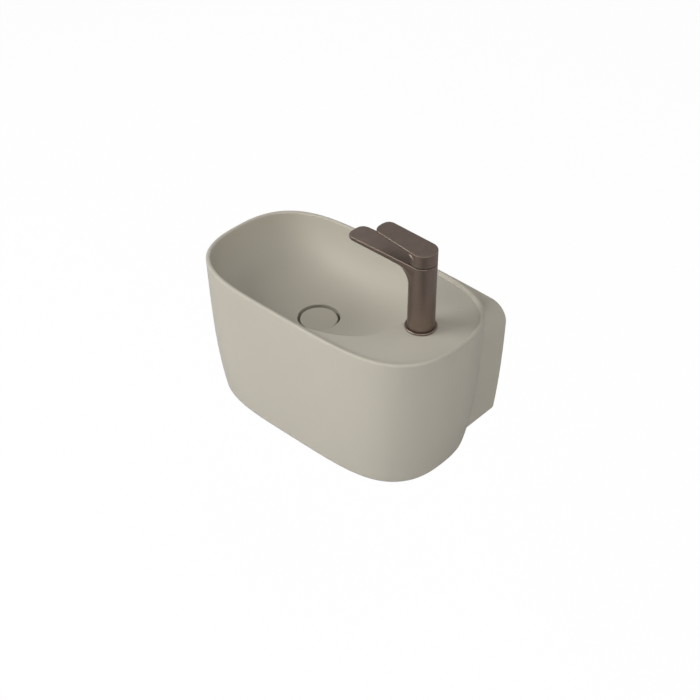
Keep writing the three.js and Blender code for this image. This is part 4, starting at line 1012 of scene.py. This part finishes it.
def make_backnut():
    """The waste's backnut: a ring with round grip grooves and softened edges.

    At a distance along the rim from a groove's middle, the edge lies inside the radius by
    the root of the groove's radius squared less the distance squared.
    """
    middle, low, high = node_box("waste_backnut")
    half = (high[2] - low[2]) / 2
    angle = np.linspace(0, 2 * math.pi, BACKNUT_GRIPS * 24, endpoint=False)
    share = np.mod(angle * BACKNUT_GRIPS / (2 * math.pi), 1) - 0.5
    from_groove = share * 2 * math.pi / BACKNUT_GRIPS * BACKNUT_RADIUS
    edge = BACKNUT_RADIUS - np.sqrt(np.maximum(0, BACKNUT_GROOVE ** 2 - from_groove ** 2))
    bore = np.full(len(angle), WASTE_RADIUS + SEAT)
    soft = BACKNUT_EDGE_ROUND
    levels = [(bore, -half), (edge - soft, -half), (edge, -half + soft),
              (edge, half - soft), (edge - soft, half), (bore, half), (bore, -half)]
    rings = np.array([np.stack([reach * np.cos(angle), reach * np.sin(angle),
                                np.full(len(angle), height)], axis=-1)
                      for reach, height in levels])
    faces = grid_faces(len(rings), len(angle), True).tolist()
    piece = new_piece("ribbed_backnut", rings.reshape(-1, 3), faces, middle, sharp=35.0)
    return stand_in(piece, "waste_backnut", "root", "brass")


def make_small_pieces():
    """Rings, studs, hose tails and the waste's seals, finer than the CAD nodes they stand for."""
    around_waste = WASTE_RADIUS + SEAT
    add_ring("tap_rubber_ring", "tap_base_gasket", GASKET_BORE, "root", "rubber")
    add_ring("cover_rubber_ring", "plug_seal", COVER_SEAL_BORE, "plug", "rubber")
    add_ring("flange_rubber_ring", "waste_flange_seal", FLANGE_SEAL_BORE, "root", "rubber")
    add_ring("slip_ring", "waste_slip_washer", around_waste, "root", "white_plastic")
    for side in ("left", "right"):
        add_ring("bolt_washer_" + side, "wall_washer_" + side, BOLT_RADIUS + SEAT,
                 "root", "steel", axis="y")
        add_threaded_rod("wall_bolt_" + side, "wall_stud_" + side,
                         BOLT_THREAD_PITCH, BOLT_THREAD_DEPTH, axis="y")
    add_threaded_rod("tap_bolt", "tap_stud", STUD_THREAD_PITCH, STUD_THREAD_DEPTH)
    cone = [[around_waste, 0], [CONE_RADIUS, 0],
            [CONE_TIP, CONE_THICKNESS], [around_waste, CONE_THICKNESS]]
    add_turned("cone_seal", "waste_cone_gasket", cone, "root", "rubber", soft=0.6)
    add_turned("cover_carrier", "plug_carrier", CARRIER_SECTION, "plug", "dark_plastic")
    for name in ("hot", "cold"):
        _, low, high = node_box(name + "_inlet")
        top = high[2] - low[2]
        shoulder = top - TAIL_HEAD_LENGTH
        section = [[TAIL_BORE, 0], [TAIL_RADIUS - TAIL_THREAD_DEPTH, 0],
                   *thread(TAIL_RADIUS, TAIL_THREAD_MARGIN, TAIL_THREAD_TOP,
                           TAIL_THREAD_PITCH, TAIL_THREAD_DEPTH),
                   [TAIL_RADIUS, TAIL_THREAD_TOP + TAIL_THREAD_MARGIN], [TAIL_RADIUS, shoulder],
                   [TAIL_HEAD_RADIUS, shoulder], [TAIL_HEAD_RADIUS, top], [TAIL_BORE, top]]
        add_turned(name + "_hose_tail", name + "_inlet", section, "root", "brass",
                   soft=0.15, count=TAIL_TURN_STEPS)


# Finishes

class Socket:
    """A shader value that can be used in sums. Each operation adds a Math node."""

    def __init__(self, finish, link):
        self.finish = finish
        self.link = link

    def _math(self, operation, first, second):
        """One Math node on two values."""
        return self.finish.node("ShaderNodeMath", {"operation": operation}, {0: first, 1: second})

    def __add__(self, other):
        return self._math("ADD", self, other)

    def __radd__(self, other):
        return self._math("ADD", other, self)

    def __mul__(self, other):
        return self._math("MULTIPLY", self, other)

    def __rmul__(self, other):
        return self._math("MULTIPLY", other, self)


class Finish:
    """A node material with a Principled shader."""

    def __init__(self, name, **constants):
        self.material = bpy.data.materials.new(name)
        self.material.use_nodes = True
        self.tree = self.material.node_tree
        self.shader = self.tree.nodes["Principled BSDF"]
        for socket, value in constants.items():
            self.shader.inputs[socket.replace("_", " ")].default_value = value

    def node(self, kind, settings=None, inputs=None, output=0):
        """Adds a node: first its settings, then the values or links of its sockets."""
        node = self.tree.nodes.new(kind)
        for key, value in (settings or {}).items():
            setattr(node, key, value)
        for key, value in (inputs or {}).items():
            if isinstance(value, Socket):
                self.tree.links.new(value.link, node.inputs[key])
            else:
                node.inputs[key].default_value = value
        return Socket(self, node.outputs[output])

    def place(self, scale=(1.0, 1.0, 1.0)):
        """Object coordinates, stretched by a scale."""
        spot = self.node("ShaderNodeTexCoord", output="Object")
        return self.node("ShaderNodeMapping", None, {"Vector": spot, "Scale": scale})

    def noise(self, scale, detail=2.0, stretch=(1.0, 1.0, 1.0)):
        """Smooth noise about 0.5 with features of about 1 / scale metres."""
        return self.node("ShaderNodeTexNoise", None,
                         {"Vector": self.place(stretch), "Scale": scale, "Detail": detail})

    def mix(self, factor, first, second):
        """A colour between two."""
        return self.node("ShaderNodeMix", {"data_type": "RGBA"},
                         {"Factor": factor, 6: (*first, 1.0), 7: (*second, 1.0)}, output=2)

    def feed(self, socket, value):
        """Links a value to the shader."""
        self.tree.links.new(value.link, self.shader.inputs[socket])

    def bump(self, height, strength, distance):
        """Fine relief from a height."""
        relief = {"Height": height, "Strength": strength, "Distance": distance}
        self.feed("Normal", self.node("ShaderNodeBump", None, relief))


GLAZE_DARK = (0.460, 0.428, 0.361)
GLAZE_PALE = (0.498, 0.466, 0.396)
BRONZE_DARK = (0.205, 0.154, 0.126)
BRONZE_PALE = (0.285, 0.222, 0.186)


def ceramic_finish():
    """Matt greige glaze: faint cloudiness, very fine grain and a soft sheen."""
    finish = Finish("matt_greige_glaze", IOR=1.5, Specular_IOR_Level=0.35)
    cloud = finish.noise(9.0, detail=3.0)
    grain = finish.noise(1400.0)
    finish.feed("Base Color", finish.mix(cloud * 0.6 + grain * 0.4, GLAZE_DARK, GLAZE_PALE))
    finish.feed("Roughness", 0.50 + cloud * 0.05 + grain * 0.06)
    finish.bump(grain, 0.05, 0.0001)
    return finish.material


def bronze_finish():
    """Dark bronze coating over fine brushing that runs round the metal."""
    finish = Finish("brushed_dark_bronze", Metallic=0.9)
    fine = finish.noise(2600.0, stretch=(0.03, 0.03, 1.0))
    cloud = finish.noise(30.0)
    finish.feed("Base Color", finish.mix(fine * 0.7 + cloud * 0.3, BRONZE_DARK, BRONZE_PALE))
    finish.feed("Roughness", 0.34 + fine * 0.12)
    finish.bump(fine, 0.35, 0.0001)
    return finish.material


def metal_finish(name, dark, pale, rough):
    """Machined metal with fine turning marks."""
    finish = Finish(name, Metallic=1.0)
    marks = finish.noise(700.0, stretch=(1.0, 1.0, 4.0))
    finish.feed("Base Color", finish.mix(marks, dark, pale))
    finish.feed("Roughness", rough + marks * 0.12)
    finish.bump(marks, 0.10, 0.00006)
    return finish.material


def soft_finish(name, dark, pale, rough, relief):
    """Moulded rubber or plastic with a fine grain."""
    finish = Finish(name)
    grain = finish.noise(1100.0)
    finish.feed("Base Color", finish.mix(grain, dark, pale))
    finish.feed("Roughness", rough + grain * 0.1)
    finish.bump(grain, relief, 0.0001)
    return finish.material


def make_finishes():
    """One material per slot of the record."""
    return {
        "ceramic": ceramic_finish(),
        "bronze": bronze_finish(),
        "brass": metal_finish("machined_brass", dark=(0.40, 0.27, 0.10),
                              pale=(0.52, 0.37, 0.16), rough=0.28),
        "steel": metal_finish("plated_steel", dark=(0.44, 0.45, 0.46),
                              pale=(0.58, 0.59, 0.60), rough=0.26),
        "rubber": soft_finish("black_rubber", dark=(0.012, 0.012, 0.012),
                              pale=(0.022, 0.022, 0.022), rough=0.62, relief=0.3),
        "white_plastic": soft_finish("white_plastic", dark=(0.68, 0.67, 0.63),
                                     pale=(0.76, 0.75, 0.71), rough=0.36, relief=0.1),
        "dark_plastic": soft_finish("dark_plastic", dark=(0.016, 0.014, 0.013),
                                    pale=(0.028, 0.025, 0.023), rough=0.38, relief=0.15),
    }


def paint(piece, material):
    """Gives a piece one material."""
    if piece.material_slots:
        for slot in piece.material_slots:
            slot.material = material
    else:
        piece.data.materials.append(material)


# Stage, light and camera

FLOOR_HALF = 12.0
FLOOR_DROP = 0.85
FLOOR_COLOUR = (0.86, 0.86, 0.86, 1.0)
FLOOR_SHADE_SHARE = 0.04
FLOOR_GLOW = 1.012
FLOOR_IN_METAL = 0.08
FLOOR_SIDES_IN_METAL = 0.42
FLOOR_SIDE_START = 0.25
FLOOR_SIDE_END = 1.05
WHITE = (1.0, 1.0, 1.0, 1.0)
WORLD_LEVEL = 0.54
WORLD_TOP = 0.11
WORLD_TOP_START = 0.5
WORLD_IN_METAL = 0.40
LIGHT_DISTANCE = 3.0
CAMERA_AZIMUTH = 42.316
CAMERA_ELEVATION = 38.028
CAMERA_LENS = 69.57
CAMERA_SENSOR = 36.0
CAMERA_FAR_END = 50.0
CAMERA_SHIFT = 0.5 / 700

# Where the camera sees the middle of the rim, in millimetres
RIM_RIGHT = -12.942
RIM_UP = 100.579
RIM_AHEAD = 1983.12


def light_path(tree, output):
    """What kind of ray meets a surface or the world, as 0 or 1."""
    return tree.nodes.new("ShaderNodeLightPath").outputs[output]


def glow(tree, level):
    """An even grey glow."""
    node = tree.nodes.new("ShaderNodeEmission")
    node.inputs["Color"].default_value = (level, level, level, 1.0)
    return node.outputs[0]


def blend(tree, factor, first, second):
    """One shader where the factor is 0 and another where it is 1."""
    node = tree.nodes.new("ShaderNodeMixShader")
    tree.links.new(factor, node.inputs[0])
    tree.links.new(first, node.inputs[1])
    tree.links.new(second, node.inputs[2])
    return node.outputs[0]


def make_stage():
    """A pale floor far below, white to the camera but for a faint shadow.

    In the metal it is dim in front of the camera and brighter at both sides. From below
    it is clear.
    """
    mesh = bpy.data.meshes.new("floor")
    corners = [(-1, -1), (1, -1), (1, 1), (-1, 1)]
    mesh.from_pydata([(x * FLOOR_HALF, y * FLOOR_HALF, -FLOOR_DROP) for x, y in corners],
                     [], [(0, 1, 2, 3)])
    floor = bpy.data.objects.new("floor", mesh)
    bpy.context.scene.collection.objects.link(floor)
    finish = Finish("pale_floor", Base_Color=FLOOR_COLOUR, Roughness=0.9, Specular_IOR_Level=0.0)
    tree = finish.tree
    to_camera = Socket(finish, light_path(tree, "Is Camera Ray"))
    part = to_camera * (1 - FLOOR_SHADE_SHARE)
    seen = blend(tree, part.link, finish.shader.outputs[0], glow(tree, FLOOR_GLOW))
    turn = math.radians(CAMERA_AZIMUTH)
    spot = finish.node("ShaderNodeTexCoord", output="Object")
    side = finish.node("ShaderNodeVectorMath", {"operation": "DOT_PRODUCT"},
                       {0: spot, 1: (math.cos(turn), math.sin(turn), 0.0)}, output="Value")
    away = finish.node("ShaderNodeMath", {"operation": "ABSOLUTE"}, {0: side})
    level = finish.node("ShaderNodeMapRange", {"interpolation_type": "SMOOTHSTEP"},
                        {"Value": away, "From Min": FLOOR_SIDE_START, "From Max": FLOOR_SIDE_END,
                         "To Min": FLOOR_IN_METAL, "To Max": FLOOR_SIDES_IN_METAL})
    mirrored_floor = finish.node("ShaderNodeEmission", None, {"Color": WHITE, "Strength": level})
    from_above = blend(tree, light_path(tree, "Is Glossy Ray"), seen, mirrored_floor.link)
    clear = finish.node("ShaderNodeBsdfTransparent")
    below = finish.node("ShaderNodeNewGeometry", output="Backfacing")
    whole = blend(tree, below.link, from_above, clear.link)
    tree.links.new(whole, tree.nodes["Material Output"].inputs["Surface"])
    mesh.materials.append(finish.material)


def background(tree, level):
    """A plain white sky of a level."""
    node = tree.nodes.new("ShaderNodeBackground")
    node.inputs["Color"].default_value = WHITE
    node.inputs["Strength"].default_value = level
    return node.outputs[0]


def make_world():
    """Light from all round, weaker overhead. It is even in the metal and white to the camera."""
    world = bpy.data.worlds.new("studio")
    bpy.context.scene.world = world
    world.use_nodes = True
    tree = world.node_tree
    sky = tree.nodes["Background"]
    sky.inputs["Color"].default_value = WHITE
    way = tree.nodes.new("ShaderNodeTexCoord")
    parts = tree.nodes.new("ShaderNodeSeparateXYZ")
    tree.links.new(way.outputs["Generated"], parts.inputs[0])
    strength = tree.nodes.new("ShaderNodeMapRange")
    tree.links.new(parts.outputs["Z"], strength.inputs["Value"])
    strength.inputs["From Max"].default_value = WORLD_TOP_START
    strength.inputs["To Min"].default_value = WORLD_LEVEL
    strength.inputs["To Max"].default_value = WORLD_TOP
    tree.links.new(strength.outputs["Result"], sky.inputs["Strength"])
    lit = blend(tree, light_path(tree, "Is Glossy Ray"), sky.outputs[0],
                background(tree, WORLD_IN_METAL))
    whole = blend(tree, light_path(tree, "Is Camera Ray"), lit, background(tree, 1.0))
    tree.links.new(whole, tree.nodes["World Output"].inputs["Surface"])


def make_camera():
    """The camera of the photograph, placed by where it sees the middle of the rim."""
    turn = math.radians(CAMERA_AZIMUTH)
    tilt = math.radians(CAMERA_ELEVATION)
    right = Vector((math.cos(turn), math.sin(turn), 0))
    level = Vector((-math.sin(turn), math.cos(turn), 0))
    above = Vector((0, 0, 1))
    up = level * math.sin(tilt) + above * math.cos(tilt)
    ahead = level * math.cos(tilt) - above * math.sin(tilt)
    place = Vector(RIM_ORIGIN) - (right * RIM_RIGHT + up * RIM_UP + ahead * RIM_AHEAD)
    data = bpy.data.cameras.new("camera")
    data.lens = CAMERA_LENS
    data.sensor_width = CAMERA_SENSOR
    data.clip_end = CAMERA_FAR_END
    data.shift_x = -CAMERA_SHIFT
    data.shift_y = CAMERA_SHIFT
    camera = bpy.data.objects.new("camera", data)
    turned_way = Matrix((right, up, -ahead)).transposed().to_4x4()
    camera.matrix_world = Matrix.Translation(place * MM) @ turned_way
    bpy.context.scene.collection.objects.link(camera)
    bpy.context.scene.camera = camera


def add_light(name, azimuth, elevation, size, level):
    """A square soft light that looks at the basin from an azimuth, counted from +X, and a height.

    The level is the brightness that it gives a white face turned to it.
    """
    turn = math.radians(azimuth)
    tilt = math.radians(elevation)
    middle = Vector(RIM_ORIGIN * MM)
    way = Vector((math.cos(turn) * math.cos(tilt), math.sin(turn) * math.cos(tilt), math.sin(tilt)))
    data = bpy.data.lights.new(name, "AREA")
    data.size = size
    data.energy = level * math.pi ** 2 * LIGHT_DISTANCE ** 2
    light = bpy.data.objects.new(name, data)
    aim = (-way).to_track_quat("-Z", "Y").to_matrix().to_4x4()
    light.matrix_world = Matrix.Translation(middle + way * LIGHT_DISTANCE) @ aim
    bpy.context.scene.collection.objects.link(light)


def make_lights():
    """A soft key from the front left, and weaker lights in front, at both sides and behind."""
    add_light("key", azimuth=230.0, elevation=33.0, size=1.8, level=0.72)
    add_light("front_fill", azimuth=285.0, elevation=12.0, size=1.4, level=0.15)
    add_light("left_fill", azimuth=152.0, elevation=13.0, size=1.4, level=0.10)
    add_light("camera_fill", azimuth=318.0, elevation=14.0, size=1.4, level=0.19)
    add_light("right_fill", azimuth=340.0, elevation=62.0, size=1.4, level=0.22)
    add_light("back_fill", azimuth=52.0, elevation=38.0, size=1.4, level=0.13)


# Everything together

make_camera()
make_world()
make_stage()
make_lights()
make_basin()
make_tap_body()
make_lever()
make_base_ring()
make_cover()
make_waste_tube()
make_backnut()
make_small_pieces()

finishes = make_finishes()
node_slots = {row["node"]: row["material_slot"] for row in frame["record"]["subparts"]}
for node_name, node_object in frame["nodes"].items():
    paint(node_object, finishes[node_slots[node_name]])
for piece in bpy.data.objects:
    slot_name = piece.get("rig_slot") if piece.type == "MESH" else None
    if slot_name in finishes:
        paint(piece, finishes[slot_name])

bpy.context.scene.view_settings.view_transform = "Standard"
